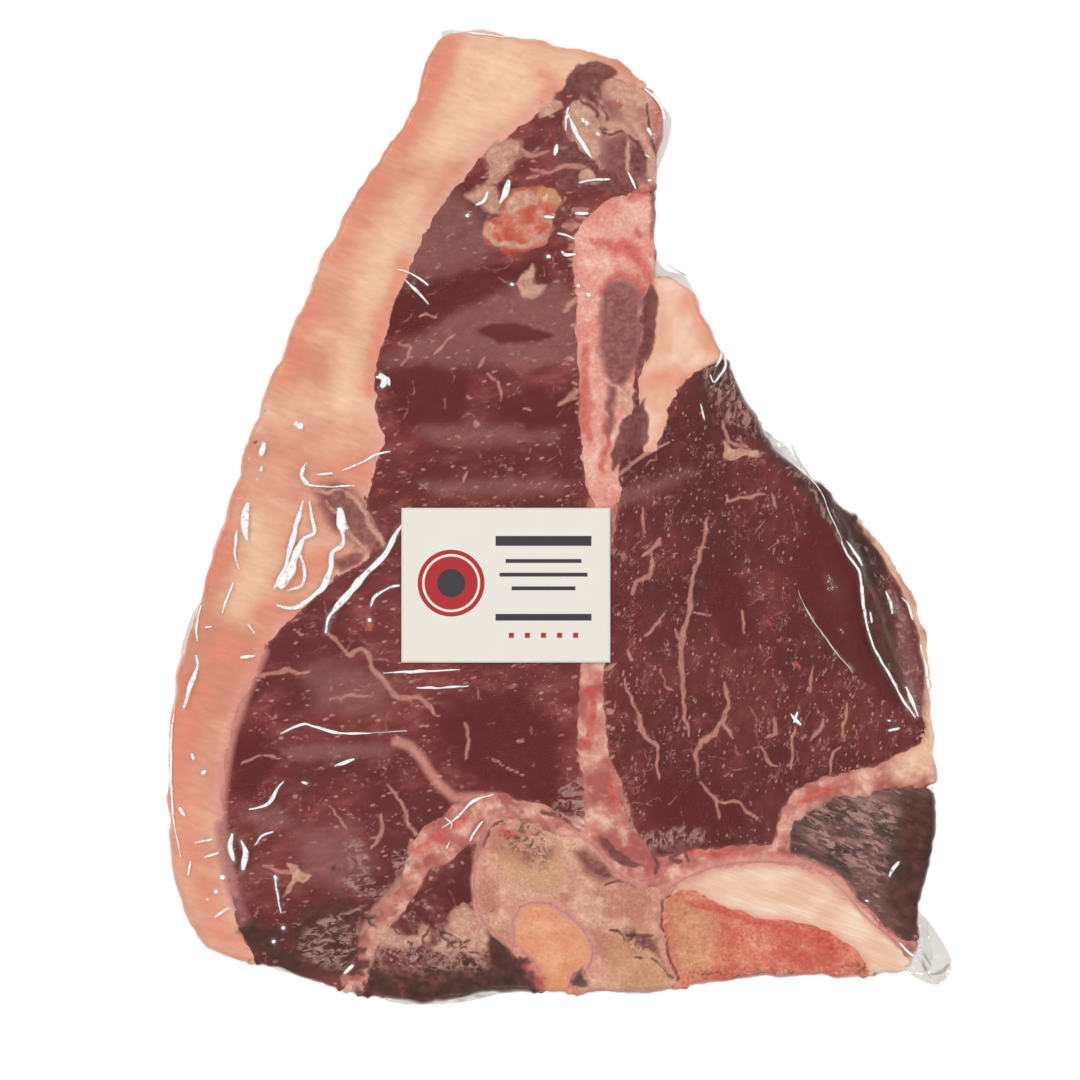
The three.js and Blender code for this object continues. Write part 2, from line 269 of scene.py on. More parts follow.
@dataclass(frozen=True)
class Stroke:
    """A line or filled patch on the cut face, in photo pixels, its half width in mm."""

    half: float
    points: Points
    fill: bool = False

    TIP, BELLY = 0.4, 0.75  # a tapered line's width at its ends, and what its middle adds

    def amount(self, xy: np.ndarray, taper: bool) -> np.ndarray:
        """Strength of the stroke at many places.

        Args:
            xy: Places in the frame, one row each.
            taper: Whether a line thins towards its ends.

        Returns:
            One half at the stroke's edge, 1 a half width inside it and 0 as far outside.
        """
        half = self.half * MM
        corners = place(self.points)
        low, high = corners.min(axis=0) - 2 * half, corners.max(axis=0) + 2 * half
        near = np.flatnonzero(np.all((xy > low) & (xy < high), axis=1))
        out = np.zeros(len(xy))
        if not len(near):
            return out
        closed = (*self.points, *self.points[:2]) if self.fill else self.points
        distance, along = line_distance(xy[near], closed)
        if self.fill:
            sign = np.where(inside(xy[near], corners), 1, -1)
            out[near] = np.clip(0.5 + 0.5 * sign * distance / half, 0, 1)
        else:
            if taper and len(corners) > 1:
                half = half * (self.TIP + self.BELLY * np.sqrt(np.clip(4 * along * (1 - along), 0, 1)))
            out[near] = np.clip(1 - distance / (2 * half), 0, 1)
        return out


@dataclass(frozen=True)
class Fold:
    """A pinched fold of the film, in photo pixels, its half width in mm; it is drawn milky white, which is
    partly a painted highlight.
    """

    half: float
    points: Points


@dataclass(frozen=True)
class Relief:
    """A raised (or sunken) line on the cut face, in photo pixels, its size in mm."""

    rise: float
    half: float
    points: Points

    def amount(self, xy: np.ndarray) -> np.ndarray:
        """Height of the relief at many places.

        Args:
            xy: Places in the frame, one row each.

        Returns:
            The heights in metres.
        """
        distance, _ = line_distance(xy, self.points)
        t = np.clip(1 - (distance / (self.half * MM)) ** 2, 0, 1)
        return self.rise * MM * t * t


def lines(half: float, *routes: Points) -> tuple[Stroke, ...]:
    """Lines of one half width, in millimetres."""
    return tuple(Stroke(half, route) for route in routes)


def patches(half: float, *outlines: Points) -> tuple[Stroke, ...]:
    """Filled patches, with edges that are soft over one half width, in millimetres."""
    return tuple(Stroke(half, outline, True) for outline in outlines)


def folds(half: float, *routes: Points) -> tuple[Fold, ...]:
    """Pinched folds of one half width, in millimetres."""
    return tuple(Fold(half, route) for route in routes)


class Value:
    """A shader socket that Python's operators work on."""

    def __init__(self, shader: "Shader", socket: NodeSocket) -> None:
        """Wraps an output socket."""
        self.shader = shader
        self.socket = socket

    def __add__(self, other: "Value | float") -> "Value":
        """Sum."""
        return self.shader.math("ADD", self, other)

    def __sub__(self, other: "Value | float") -> "Value":
        """Difference."""
        return self.shader.math("SUBTRACT", self, other)

    def __mul__(self, other: "Value | float") -> "Value":
        """Product."""
        return self.shader.math("MULTIPLY", self, other)

    def __pow__(self, other: "Value | float") -> "Value":
        """Power."""
        return self.shader.math("POWER", self, other)

    def __rsub__(self, other: float) -> "Value":
        """Difference from a number."""
        return self.shader.math("SUBTRACT", other, self)

    def __rpow__(self, other: float) -> "Value":
        """Power of a number."""
        return self.shader.math("POWER", other, self)

    __radd__ = __add__
    __rmul__ = __mul__


class Shader:
    """A new node material and the few ways that this scene wires one."""

    MIX_FACTOR, MIX_A, MIX_B, MIX_RESULT = 0, 6, 7, 2  # a colour Mix node's sockets

    def __init__(self, name: str) -> None:
        """Starts an empty node material.

        Args:
            name: The material's name.
        """
        self.material = bpy.data.materials.new(name)
        self.material.use_nodes = True
        self.tree = self.material.node_tree
        self.tree.nodes.clear()
        self.output = self.tree.nodes.new("ShaderNodeOutputMaterial")
        self.where = self.node("ShaderNodeTexCoord").outputs["Object"]

    def node(self, kind: str, settings: dict | None = None, inputs: dict | None = None) -> Node:
        """Adds a node.

        Args:
            kind: The node's type.
            settings: Properties, set first.
            inputs: Values or links of its sockets, by name or number.

        Returns:
            The node.
        """
        node = self.tree.nodes.new(kind)
        for key, value in (settings or {}).items():
            setattr(node, key, value)
        for key, value in (inputs or {}).items():
            socket = node.inputs[key]
            source = value.socket if isinstance(value, Value) else value
            if isinstance(source, NodeSocket):
                self.tree.links.new(source, socket)
            elif isinstance(source, tuple) and len(source) == 3 and socket.type == "RGBA":
                socket.default_value = (*source, 1)
            else:
                socket.default_value = source
        return node

    def math(self, operation: str, a: Value | float, b: Value | float = 0.0) -> Value:
        """Arithmetic on numbers."""
        node = self.node("ShaderNodeMath", {"operation": operation}, {0: a, 1: b})
        return Value(self, node.outputs[0])

    def ramp(self, x: Value, low: float, high: float) -> Value:
        """Smooth rise or fall of a number.

        Args:
            x: The number.
            low: Where the result is 0; it may be above high.
            high: Where the result is 1.

        Returns:
            The result, from 0 to 1.
        """
        node = self.node(
            "ShaderNodeMapRange", {"interpolation_type": "SMOOTHSTEP"},
            {"Value": x, "From Min": low, "From Max": high},
        )
        return Value(self, node.outputs["Result"])

    def mix(self, factor: Value | float, a: object, b: object, blend: str = "MIX") -> Value:
        """One colour over another.

        Args:
            factor: How much of the upper colour shows, from 0 to 1.
            a: The lower colour, a value or three numbers.
            b: The upper colour, a value or three numbers.
            blend: The Mix node's way of blending.

        Returns:
            The colour.
        """
        node = self.node(
            "ShaderNodeMix", {"data_type": "RGBA", "blend_type": blend},
            {self.MIX_FACTOR: factor, self.MIX_A: a, self.MIX_B: b},
        )
        return Value(self, node.outputs[self.MIX_RESULT])

    def stretched(self, stretch: tuple[float, float, float], turn: float = 0.0) -> NodeSocket:
        """Object coordinates for a pattern that runs one way.

        Args:
            stretch: What each axis is scaled by.
            turn: Turn about Z before that, in degrees.

        Returns:
            The socket of the coordinates.
        """
        node = self.node("ShaderNodeMapping", {"vector_type": "TEXTURE"}, {
            "Vector": self.where, "Scale": tuple(1 / s for s in stretch),
            "Rotation": (0, 0, math.radians(turn)),
        })
        return node.outputs["Vector"]

    def noise(self, size: float, detail: float = 3, rough: float = 0.55, warp: float = 0.0,
              vector: NodeSocket | None = None) -> Value:
        """Fractal noise.

        Args:
            size: About how large its largest lumps are, in millimetres.
            detail: How many finer layers it has.
            rough: How strong each finer layer is.
            warp: How far it is bent by itself.
            vector: Coordinates, where they aren't the object's own.

        Returns:
            The noise, from 0 to 1.
        """
        node = self.node("ShaderNodeTexNoise", {}, {
            "Vector": vector or self.where, "Scale": 1 / (size * MM), "Detail": detail,
            "Roughness": rough, "Distortion": warp,
        })
        return Value(self, node.outputs["Fac"])

    def cells(self, size: float, vector: NodeSocket | None = None) -> Value:
        """Distance from the nearest of scattered points.

        Args:
            size: About how far apart the points are, in millimetres.
            vector: Coordinates, where they aren't the object's own.

        Returns:
            The distance, from 0 to about 1.
        """
        node = self.node("ShaderNodeTexVoronoi", {}, {
            "Vector": vector or self.where, "Scale": 1 / (size * MM),
        })
        return Value(self, node.outputs["Distance"])

    def attribute(self, name: str) -> Value:
        """A number stored on the mesh's points."""
        node = self.node("ShaderNodeAttribute", {"attribute_name": name})
        return Value(self, node.outputs["Fac"])

    def bump(self, height: Value, depth: float, strength: float = 1.0) -> NodeSocket:
        """Normal of a fine relief.

        Args:
            height: The relief's height, from 0 to 1.
            depth: Its full height in millimetres.
            strength: How strongly it shows.

        Returns:
            The socket of the normal.
        """
        node = self.node("ShaderNodeBump", {}, {
            "Height": height, "Distance": depth * MM, "Strength": strength,
        })
        return node.outputs["Normal"]

    def finish(self, surface: NodeSocket) -> Material:
        """Links the surface and gives the material back."""
        self.tree.links.new(surface, self.output.inputs["Surface"])
        return self.material


@dataclass(frozen=True)
class Flesh:
    """Finish of a cut tissue: drifting colours, grain, bundles, flecks, pores and strokes."""

    name: str
    low: Colour
    middle: Colour
    high: Colour
    cloud: float = 28.0
    mottle: float = 5.0
    grain: float = 1.0
    grain_depth: float = 0.1
    bundle: float = 0.0
    bundle_size: float = 1.5
    stretch: tuple[float, float, float] = (1.0, 1.0, 1.0)
    turn: float = 0.0
    flecks: float = 0.0
    fleck_size: float = 3.5
    fleck_colour: Colour = srgb(196, 140, 132)
    dust: float = 0.0
    pores: float = 0.0
    pore_size: float = 1.1
    pore_colour: Colour = srgb(120, 50, 40)
    rim_colour: Colour = srgb(158, 94, 86)
    rim_width: float = 0.9
    rim_fade: float = 0.1
    rim: float = 0.7
    edge_colour: Colour = srgb(150, 84, 74)
    edge: float = 0.5
    rough: float = 0.42

    RAGGED_SIZE = 2.2  # lumps that fray the strokes' edges; these sizes are in millimetres
    GAP_SIZE = 2.6  # gaps in broken threads
    LACE_SIZE = 2.4  # holes in lacy smears
    DUST_SIZE = 1.7
    DUST_PATCH = 9.0
    DUST_COLOUR = srgb(206, 162, 152)
    PORE_PATCH = 6.0
    FLECK_PATCH = 4.0
    RELIEF_DEPTH, RELIEF_STRENGTH = 0.3, 0.5
    ROUGH_SPREAD = 0.16  # how far the roughness drifts with the mottling
    SPECULAR = 0.16
    MIDDLE_BAND, HIGH_BAND = (0.36, 0.64), (0.5, 0.8)  # of noise, where the next colour comes in
    MOTTLE_SHARE, CLOUD_SHARE = 0.7, 0.4
    EDGE_BAND = (0.9, 0.1)  # of how much a point belongs to the cut face
    GRAIN_BAND, MOTTLE_BAND = (0.25, 0.75), (0.2, 0.8)
    PATCHY = (0.38, 0.62)
    LAID_BAND = (0.02, 0.2)  # of a stroke's strength, so noise alone never shows it
    DRIFT_BAND = (-0.16, 0.16)  # between a look's two colours

    def build(self, layers: list[Layer]) -> Material:
        """Wires the material.

        Args:
            layers: The layers that the piece's strokes use.

        Returns:
            The material.
        """
        s = Shader(self.name)
        along = s.stretched(self.stretch, self.turn)
        cloud = s.noise(self.cloud, 3, 0.5, 0.3)
        mottle = s.noise(self.mottle, 4, 0.62, 0.25, along)
        grain = s.noise(self.grain, 3, 0.65, 0.2, along)
        ragged = s.noise(self.RAGGED_SIZE, 6, 0.8, 0.4) - 0.5
        height = grain * 0.5 + mottle * 0.5
        colour = s.mix(s.ramp(cloud, *self.MIDDLE_BAND), self.low, self.middle)
        drift = mottle * self.MOTTLE_SHARE + cloud * self.CLOUD_SHARE
        colour = s.mix(s.ramp(drift, *self.HIGH_BAND), colour, self.high)
        wall = s.ramp(s.attribute("top"), *self.EDGE_BAND)
        colour = s.mix(wall * self.edge, colour, self.edge_colour)
        if self.pores:
            pore = s.ramp(s.cells(self.pore_size, along) + ragged * 0.7, 0.42, 0.15)
            pore = pore * s.ramp(s.noise(self.PORE_PATCH, 3), *self.PATCHY)
            colour = s.mix(pore * self.pores, colour, self.pore_colour)
            height = height - pore * 0.5
        if self.flecks:
            colour = s.mix(self._flecks(s, along, ragged), colour, self.fleck_colour)
        if self.dust:
            speck = s.ramp(s.cells(self.DUST_SIZE) + ragged * 0.12, 0.15, 0.07)
            speck = speck * s.ramp(s.noise(self.DUST_PATCH, 3), 0.4, 0.58)
            colour = s.mix(speck * self.dust, colour, self.DUST_COLOUR)
        rim = s.attribute("rim") + ragged * 2.2
        colour = s.mix(s.ramp(rim, self.rim_width, self.rim_fade) * self.rim, colour, self.rim_colour)
        colour = self._strokes(s, colour, layers, along, ragged)
        colour = s.mix(1.0, colour, self._grey(s, self._shade(s, along, grain)), "MULTIPLY")
        rough = s.ramp(mottle, *self.MOTTLE_BAND) * self.ROUGH_SPREAD + (self.rough - self.ROUGH_SPREAD / 2)
        body = s.node("ShaderNodeBsdfPrincipled", {}, {
            "Base Color": colour, "Roughness": rough, "Specular IOR Level": self.SPECULAR,
            "Normal": s.bump(height, self.RELIEF_DEPTH, self.RELIEF_STRENGTH),
        })
        return s.finish(body.outputs[0])

    def _flecks(self, s: Shader, along: NodeSocket, ragged: Value) -> Value:
        """Mask of short threads and dots of fat.

        Args:
            s: The material.
            along: Coordinates that run with the fibres.
            ragged: Noise about 0 that frays the dots.

        Returns:
            The mask, from 0 to 1.
        """
        thread = s.noise(self.fleck_size, 3, 0.6, 1.2, along)
        line = s.ramp(s.math("ABSOLUTE", thread - 0.5), 0.022, 0.006)
        least = 0.6 - 0.09 * self.flecks
        line = line * s.ramp(s.noise(self.FLECK_PATCH, 4, 0.65), least, least + 0.06)
        dots = s.ramp(s.cells(self.fleck_size * 0.9, along) + ragged * 0.5, 0.19, 0.1)
        return s.math("MAXIMUM", line * 0.6, dots * 0.7)

    def _strokes(self, s: Shader, colour: Value, layers: list[Layer], along: NodeSocket,
                 ragged: Value) -> Value:
        """Lays the strokes' colours over the tissue's.

        Args:
            s: The material.
            colour: The tissue's colour.
            layers: The layers that the piece's strokes use.
            along: Coordinates that run with the fibres.
            ragged: Noise about 0 that frays the strokes.

        Returns:
            The colour with the strokes.
        """
        broken = s.ramp(s.noise(self.GAP_SIZE, 2, 0.6), 0.36, 0.56)
        lace = s.ramp(s.noise(self.LACE_SIZE, 5, 0.72, 0.9, along), 0.47, 0.56)
        for layer in layers:
            look = LOOKS[layer]
            laid = s.attribute(layer.value)
            mask = s.ramp(laid + ragged * look.ragged, 0.5 - look.soft, 0.5 + look.soft)
            mask = mask * s.ramp(laid, *self.LAID_BAND) * look.strength
            if look.broken:
                mask = mask * broken
            if look.lacy:
                mask = mask * lace
            tone = s.mix(s.ramp(ragged, *self.DRIFT_BAND), look.near, look.far)
            colour = s.mix(mask, colour, tone)
        return colour

    def _shade(self, s: Shader, along: NodeSocket, grain: Value) -> Value:
        """Light and dark of the grain and of the fibre bundles.

        Args:
            s: The material.
            along: Coordinates that run with the fibres.
            grain: The grain's noise.

        Returns:
            What the colour is multiplied by.
        """
        shade = s.ramp(grain, *self.GRAIN_BAND) * (2 * self.grain_depth) + (1 - self.grain_depth)
        if self.bundle:
            piece = s.node("ShaderNodeTexVoronoi", {}, {
                "Vector": along, "Scale": 1 / (self.bundle_size * MM), "Randomness": 1.0,
            })
            tone = s.node("ShaderNodeSeparateColor", {}, {0: piece.outputs["Color"]})
            shade = shade * (Value(s, tone.outputs[0]) * self.bundle + (1 - self.bundle / 2))
        return shade

    @staticmethod
    def _grey(s: Shader, value: Value) -> Value:
        """A number as a grey colour."""
        node = s.node("ShaderNodeCombineColor", {}, {"Red": value, "Green": value, "Blue": value})
        return Value(s, node.outputs[0])


@dataclass(frozen=True)
class FilmFinish:
    """Clear shrunk film: see-through, with mirror glints and a thin uneven haze, and whitened along its
    creases, which is partly a painted highlight.
    """

    name: str = "clear_film"
    tint: Colour = (1.0, 0.98, 0.95)
    through: Colour = (1.0, 1.0, 1.0)
    haze: float = 0.0
    veil: float = 0.016
    metallic: float = 0.6
    rough: float = 0.09
    ripple: float = 0.25

    GLANCE, GLANCE_POWER = 0.7, 5.0  # mirror at the film's turned-away edge, and how fast it fades
    # how far the creases whiten the film: their milkiness and a painted highlight
    CREASE_GLINT = 0.4
    FINE_RIPPLE, WIDE_RIPPLE = 3.2, 11.0  # in millimetres

    def build(self) -> Material:
        """Wires the material.

        Returns:
            The material.
        """
        s = Shader(self.name)
        facing = Value(s, s.node("ShaderNodeLayerWeight", {}, {"Blend": 0.5}).outputs["Facing"])
        mirror = facing ** self.GLANCE_POWER * self.GLANCE + self.veil
        # Creases whiten the film: their milkiness, and a painted highlight along them.
        crease_glint = s.attribute("crease_glint") * self.CREASE_GLINT
        factor = s.math("MINIMUM", mirror + crease_glint + self.haze, 1.0)
        ripple = s.noise(self.FINE_RIPPLE, 3, 0.5, 0.6) + s.noise(self.WIDE_RIPPLE, 2) * 2.0
        skin = s.node("ShaderNodeBsdfPrincipled", {}, {
            "Base Color": self.tint, "Metallic": self.metallic, "Roughness": self.rough,
            "Normal": s.bump(ripple, self.ripple, 0.5),
        })
        clear = s.node("ShaderNodeBsdfTransparent", {}, {0: self.through})
        both = s.node("ShaderNodeMixShader", {}, {0: factor, 1: clear.outputs[0], 2: skin.outputs[0]})
        return s.finish(both.outputs[0])


@dataclass(frozen=True)
class PaintedGlintFoldFinish:
    """A pinched fold of film, milky white, which thins out here and there; its white is partly the fold's
    milkiness and partly a painted highlight where the film glints.
    """

    name: str = "film_fold_painted_glint"
    # white of the fold: its milkiness and a painted highlight
    glint_white: Colour = (1.0, 0.985, 0.96)
    rough: float = 0.3
    least: float = 0.3
    gap_size: float = 1.6

    def build(self) -> Material:
        """Wires the material.

        Returns:
            The material.
        """
        s = Shader(self.name)
        broken = s.ramp(s.noise(self.gap_size, 3, 0.6), 0.3, 0.48)
        body = s.node("ShaderNodeBsdfPrincipled", {}, {
            "Base Color": self.glint_white, "Roughness": self.rough, "Alpha": broken * 0.65 + self.least,
            "Normal": s.bump(s.noise(0.8, 3), 0.1, 0.4),
        })
        return s.finish(body.outputs[0])


@dataclass(frozen=True)
class LabelFinish:
    """Off-white label paper with a ringed roundel at its left and plain rules at its right."""

    name: str = "label_paper"
    paper: Colour = srgb(236, 231, 221)
    red: Colour = srgb(176, 44, 48)
    ink: Colour = srgb(62, 56, 62)
    centre: tuple[float, float] = (-13.7, -17.1)
    roundel: tuple[float, float] = (-13.5, 0.5)
    rules: tuple[tuple[float, float, float], ...] = (
        (11.0, 12.0, 1.3), (6.0, 9.5, 0.55), (2.6, 11.0, 0.55), (-0.8, 8.0, 0.55), (-8.0, 12.0, 0.9),
    )
    rules_at: float = 9.5
    disc: float = 8.4
    ring: tuple[float, float] = (7.3, 6.7)
    core: float = 3.6
    dots: int = 5
    dots_level: float = -12.5
    dot: float = 0.7
    dot_pitch: float = 4.0

    CRISP, BAR_CRISP = 0.15, 0.12  # over how many millimetres a printed edge fades

    def build(self) -> Material:
        """Wires the material.

        Returns:
            The material.
        """
        s = Shader(self.name)
        shift = s.node("ShaderNodeMapping", {}, {
            "Vector": s.where, "Location": (-self.centre[0], -self.centre[1], 0),
            "Scale": (1 / MM, 1 / MM, 1 / MM),
        })
        parts = s.node("ShaderNodeSeparateXYZ", {}, {0: shift.outputs[0]})
        x, y = Value(s, parts.outputs[0]), Value(s, parts.outputs[1])
        colour = s.mix(s.noise(9.0, 3), self.paper, tuple(0.95 * c for c in self.paper))
        u, v = x - self.roundel[0], y - self.roundel[1]
        radius = s.math("SQRT", u * u + v * v)
        disc, outer, inner, core = (
            s.ramp(radius, size, size - self.CRISP) for size in (self.disc, *self.ring, self.core)
        )
        colour = s.mix(disc, colour, self.red)
        colour = s.mix(outer - inner, colour, self.paper)
        colour = s.mix(core, colour, self.ink)
        for height, half, thick in self.rules:
            colour = s.mix(self._bar(s, x - self.rules_at, y, height, half, thick), colour, self.ink)
        for step in range(self.dots):
            across = self.rules_at + self.dot_pitch * (step - (self.dots - 1) / 2)
            dot = self._bar(s, x - across, y, self.dots_level, self.dot, self.dot)
            colour = s.mix(dot, colour, self.red)
        body = s.node("ShaderNodeBsdfPrincipled", {}, {
            "Base Color": colour, "Roughness": 0.5, "Specular IOR Level": 0.3,
            "Normal": s.bump(s.noise(0.5, 3), 0.03, 0.5),
        })
        return s.finish(body.outputs[0])

    def _bar(self, s: Shader, x: Value, y: Value, height: float, half: float, thick: float) -> Value:
        """Mask of a level bar, by half its length and half its thickness in millimetres."""
        across = s.ramp(s.math("ABSOLUTE", x), half, half - self.BAR_CRISP)
        return across * s.ramp(s.math("ABSOLUTE", y - height), thick, thick - self.BAR_CRISP)


@dataclass(frozen=True)
class FloorFinish:
    """A plain white table that shines softly by itself, so no shadow muddies it."""

    name: str = "white_table"
    grey: Colour = (0.2, 0.2, 0.2)
    glow: float = 0.95

    def build(self) -> Material:
        """Wires the material.

        Returns:
            The material.
        """
        s = Shader(self.name)
        glow = s.node("ShaderNodeBsdfPrincipled", {}, {
            "Base Color": self.grey, "Roughness": 0.9,
            "Emission Color": (1, 1, 1), "Emission Strength": self.glow,
        })
        return s.finish(glow.outputs[0])


# Muscles, bones and fats by their CAD node: the record's slot and the finish. Sizes are in millimetres.
FINISHES = {
    "striploin": ("lean", Flesh(
        "loin_lean", srgb(94, 28, 27), srgb(112, 38, 36), srgb(146, 72, 67), cloud=24, mottle=5,
        flecks=0.5, dust=0.6, grain=0.7, grain_depth=0.12, bundle=0.12, stretch=(0.7, 1.5, 1), turn=12,
    )),
    "tenderloin": ("lean", Flesh(
        "tenderloin_lean", srgb(84, 24, 22), srgb(102, 32, 30), srgb(126, 54, 49),
        flecks=0.9, fleck_size=2.8, dust=0.8, grain=0.6, grain_depth=0.13, bundle=0.16,
        bundle_size=1.2, stretch=(1.6, 0.8, 1), turn=-15,
    )),
    "inner_muscle": ("lean", Flesh(
        "inner_lean", srgb(88, 28, 26), srgb(116, 48, 45), srgb(154, 98, 88),
        flecks=0.8, dust=0.8, cloud=10, mottle=4, grain_depth=0.14, bundle=0.16,
    )),
    "chain_muscle": ("dark_lean", Flesh(
        "strap_lean", srgb(66, 46, 43), srgb(94, 62, 58), srgb(142, 96, 90),
        cloud=12, mottle=2.6, flecks=0.5, dust=0.6, grain_depth=0.15, bundle=0.4, bundle_size=2.4,
        stretch=(0.45, 1.3, 1), turn=-24,
    )),
    "tail_scraps": ("seam_fat", Flesh(
        "tail_scraps", srgb(164, 106, 96), srgb(194, 138, 122), srgb(224, 180, 160),
        cloud=7, mottle=4, grain_depth=0.05, rim=0.3, edge=0.2,
    )),
    "fat_cap": ("fat", Flesh(
        "cap_fat", srgb(211, 138, 113), srgb(223, 162, 135), srgb(236, 190, 161),
        cloud=26, mottle=9, grain=1.8, grain_depth=0.07, stretch=(0.4, 1.3, 1), turn=-18,
        rim_colour=srgb(232, 172, 158), rim_width=3.4, rim_fade=0.2, rim=0.6,
        edge_colour=srgb(210, 130, 96), edge=0.6, rough=0.36,
    )),
    "kidney_fat": ("fat", Flesh(
        "kidney_fat", srgb(230, 174, 146), srgb(238, 194, 166), srgb(242, 208, 186),
        cloud=9, mottle=6, grain=2.2, grain_depth=0.05, rim=0.4, rim_colour=srgb(214, 138, 118),
        rim_width=2.0, rim_fade=0.0, edge_colour=srgb(196, 118, 78), edge=0.8,
    )),
    "fat_lump": ("seam_fat", Flesh(
        "soft_fat", srgb(184, 80, 56), srgb(198, 114, 90), srgb(224, 166, 142),
        cloud=5, mottle=2.6, grain=1.4, grain_depth=0.1, rim=0.4, rim_width=1.4,
    )),
    "seam_fat": ("seam_fat", Flesh(
        "seam_fat", srgb(170, 88, 80), srgb(208, 138, 122), srgb(238, 196, 174),
        cloud=8, mottle=3.2, grain=1.3, grain_depth=0.12, rim=0.5, rim_colour=srgb(178, 96, 90),
        rim_width=0.9, rim_fade=0.1, edge_colour=srgb(184, 104, 84),
    )),
    "vertebra_arch": ("bone", Flesh(
        "arch_bone", srgb(188, 124, 103), srgb(212, 155, 132), srgb(226, 182, 154),
        cloud=7, mottle=2.2, grain=0.7, grain_depth=0.15, pores=0.4, pore_size=0.8,
        pore_colour=srgb(160, 100, 82), rim=0.6, rim_colour=srgb(206, 140, 130), rim_width=2.2,
        rim_fade=0.2, rough=0.5,
    )),
    "joint_process": ("bone", Flesh(
        "joint_bone", srgb(220, 144, 106), srgb(228, 158, 120), srgb(234, 176, 138),
        cloud=8, mottle=2.6, grain=0.7, grain_depth=0.1, pores=0.3, pore_size=0.7,
        pore_colour=srgb(198, 112, 80), rim=0.4, rim_colour=srgb(214, 158, 148), rim_width=1.8,
        rim_fade=0.2, rough=0.5,
    )),
    "vertebra_body": ("red_bone", Flesh(
        "body_bone", srgb(198, 92, 76), srgb(212, 120, 98), srgb(228, 158, 126),
        cloud=9, mottle=2.0, grain=0.8, grain_depth=0.2, pores=0.65, pore_size=0.9,
        pore_colour=srgb(178, 74, 60), rim=0.5, rim_colour=srgb(206, 128, 106), rim_width=1.6,
        rim_fade=0.2, rough=0.5,
    )),
    "disc_cartilage": ("cartilage", Flesh(
        "disc_cartilage", srgb(232, 188, 160), srgb(239, 207, 181), srgb(246, 230, 210),
        cloud=14, mottle=3, grain=0.8, grain_depth=0.07, stretch=(0.14, 1.8, 1), turn=-20,
        rim=0.6, rim_colour=srgb(222, 148, 130), rim_width=2.4, rim_fade=0.2, rough=0.3,
    )),
    "finger_bone": ("bone", Flesh(
        "finger_bone", srgb(220, 142, 127), srgb(230, 170, 153), srgb(240, 196, 179),
        cloud=8, mottle=2.8, grain=0.9, grain_depth=0.14, pores=0.3, pore_size=0.9,
        pore_colour=srgb(190, 88, 78), rim=0.6, rim_colour=srgb(204, 132, 120), rim_width=1.4,
        rough=0.46,
    )),
}

# Layers that each kind of tissue never wears.
LEAN_SKIPS = {Layer.PALE, Layer.BLUSH, Layer.GOLD}
FAT_SKIPS = {Layer.PAINTED_SHEEN, Layer.BLOOD, Layer.THREAD, Layer.FAT, Layer.DUSK}
BONE_SKIPS = {Layer.PAINTED_SHEEN, Layer.THREAD, Layer.FAT}
# Layers that go down the walls; the others stay on the cut face.
THROUGH = {Layer.PALE, Layer.BLUSH, Layer.LEAN_AND_SHADE, Layer.MARROW, Layer.DUSK}

THREAD_SPREAD, THREAD_BEND = 38, 0.6  # a thread's spread round its lean in degrees, its bend in radians
THREAD_STEP = (4, 11)  # photo pixels between a thread's bends
HAIR_SPREAD = 8  # degrees
HAIR_REACH = (0.5, 1.3)  # shortest and longest hair, as a share of the length asked for
HAIR_START = (-7, 2)  # photo pixels, to the left or right of the line


def squiggles(seed: int, count: int, box: tuple[float, float, float, float], lean: float,
              half: tuple[float, float] = (0.08, 0.22)) -> tuple[Stroke, ...]:
    """Short crooked threads scattered over a part of the face.

    Args:
        seed: Seed of the draw.
        count: How many.
        box: Where, as left, top, right and bottom in photo pixels.
        lean: Which way most of them run, in degrees.
        half: Least and greatest half width, in millimetres.

    Returns:
        The threads.
    """
    rng = np.random.default_rng(seed)
    out = []
    for _ in range(count):
        x, y = rng.uniform(box[0], box[2]), rng.uniform(box[1], box[3])
        turn = math.radians(lean + rng.normal(0, THREAD_SPREAD))
        points = [x, y]
        for _ in range(int(rng.integers(1, 4))):
            turn += rng.normal(0, THREAD_BEND)
            step = rng.uniform(*THREAD_STEP)
            x, y = x + step * math.cos(turn), y - step * math.sin(turn)
            points += [x, y]
        out.append(Stroke(rng.uniform(*half), tuple(points)))
    return tuple(out)


def hairs(seed: int, count: int, line: Points, lean: float, length: float,
          half: float = 0.18) -> tuple[Stroke, ...]:
    """Fine side-by-side hairs that start on a line.

    Args:
        seed: Seed of the draw.
        count: How many.
        line: The line that they start on, in photo pixels.
        lean: Which way they run, in degrees.
        length: About how long they are, in photo pixels.
        half: Half width, in millimetres.

    Returns:
        The hairs.
    """
    rng = np.random.default_rng(seed)
    corners = np.array(line, float).reshape(-1, 2)
    out = []
    for at in rng.uniform(0, len(corners) - 1.001, count):
        x, y = corners[int(at)] + (at % 1) * (corners[int(at) + 1] - corners[int(at)])
        turn = math.radians(lean + rng.normal(0, HAIR_SPREAD))
        reach = length * rng.uniform(*HAIR_REACH)
        x += rng.uniform(*HAIR_START)
        out.append(Stroke(half, (x, y, x + reach * math.cos(turn), y - reach * math.sin(turn))))
    return tuple(out)


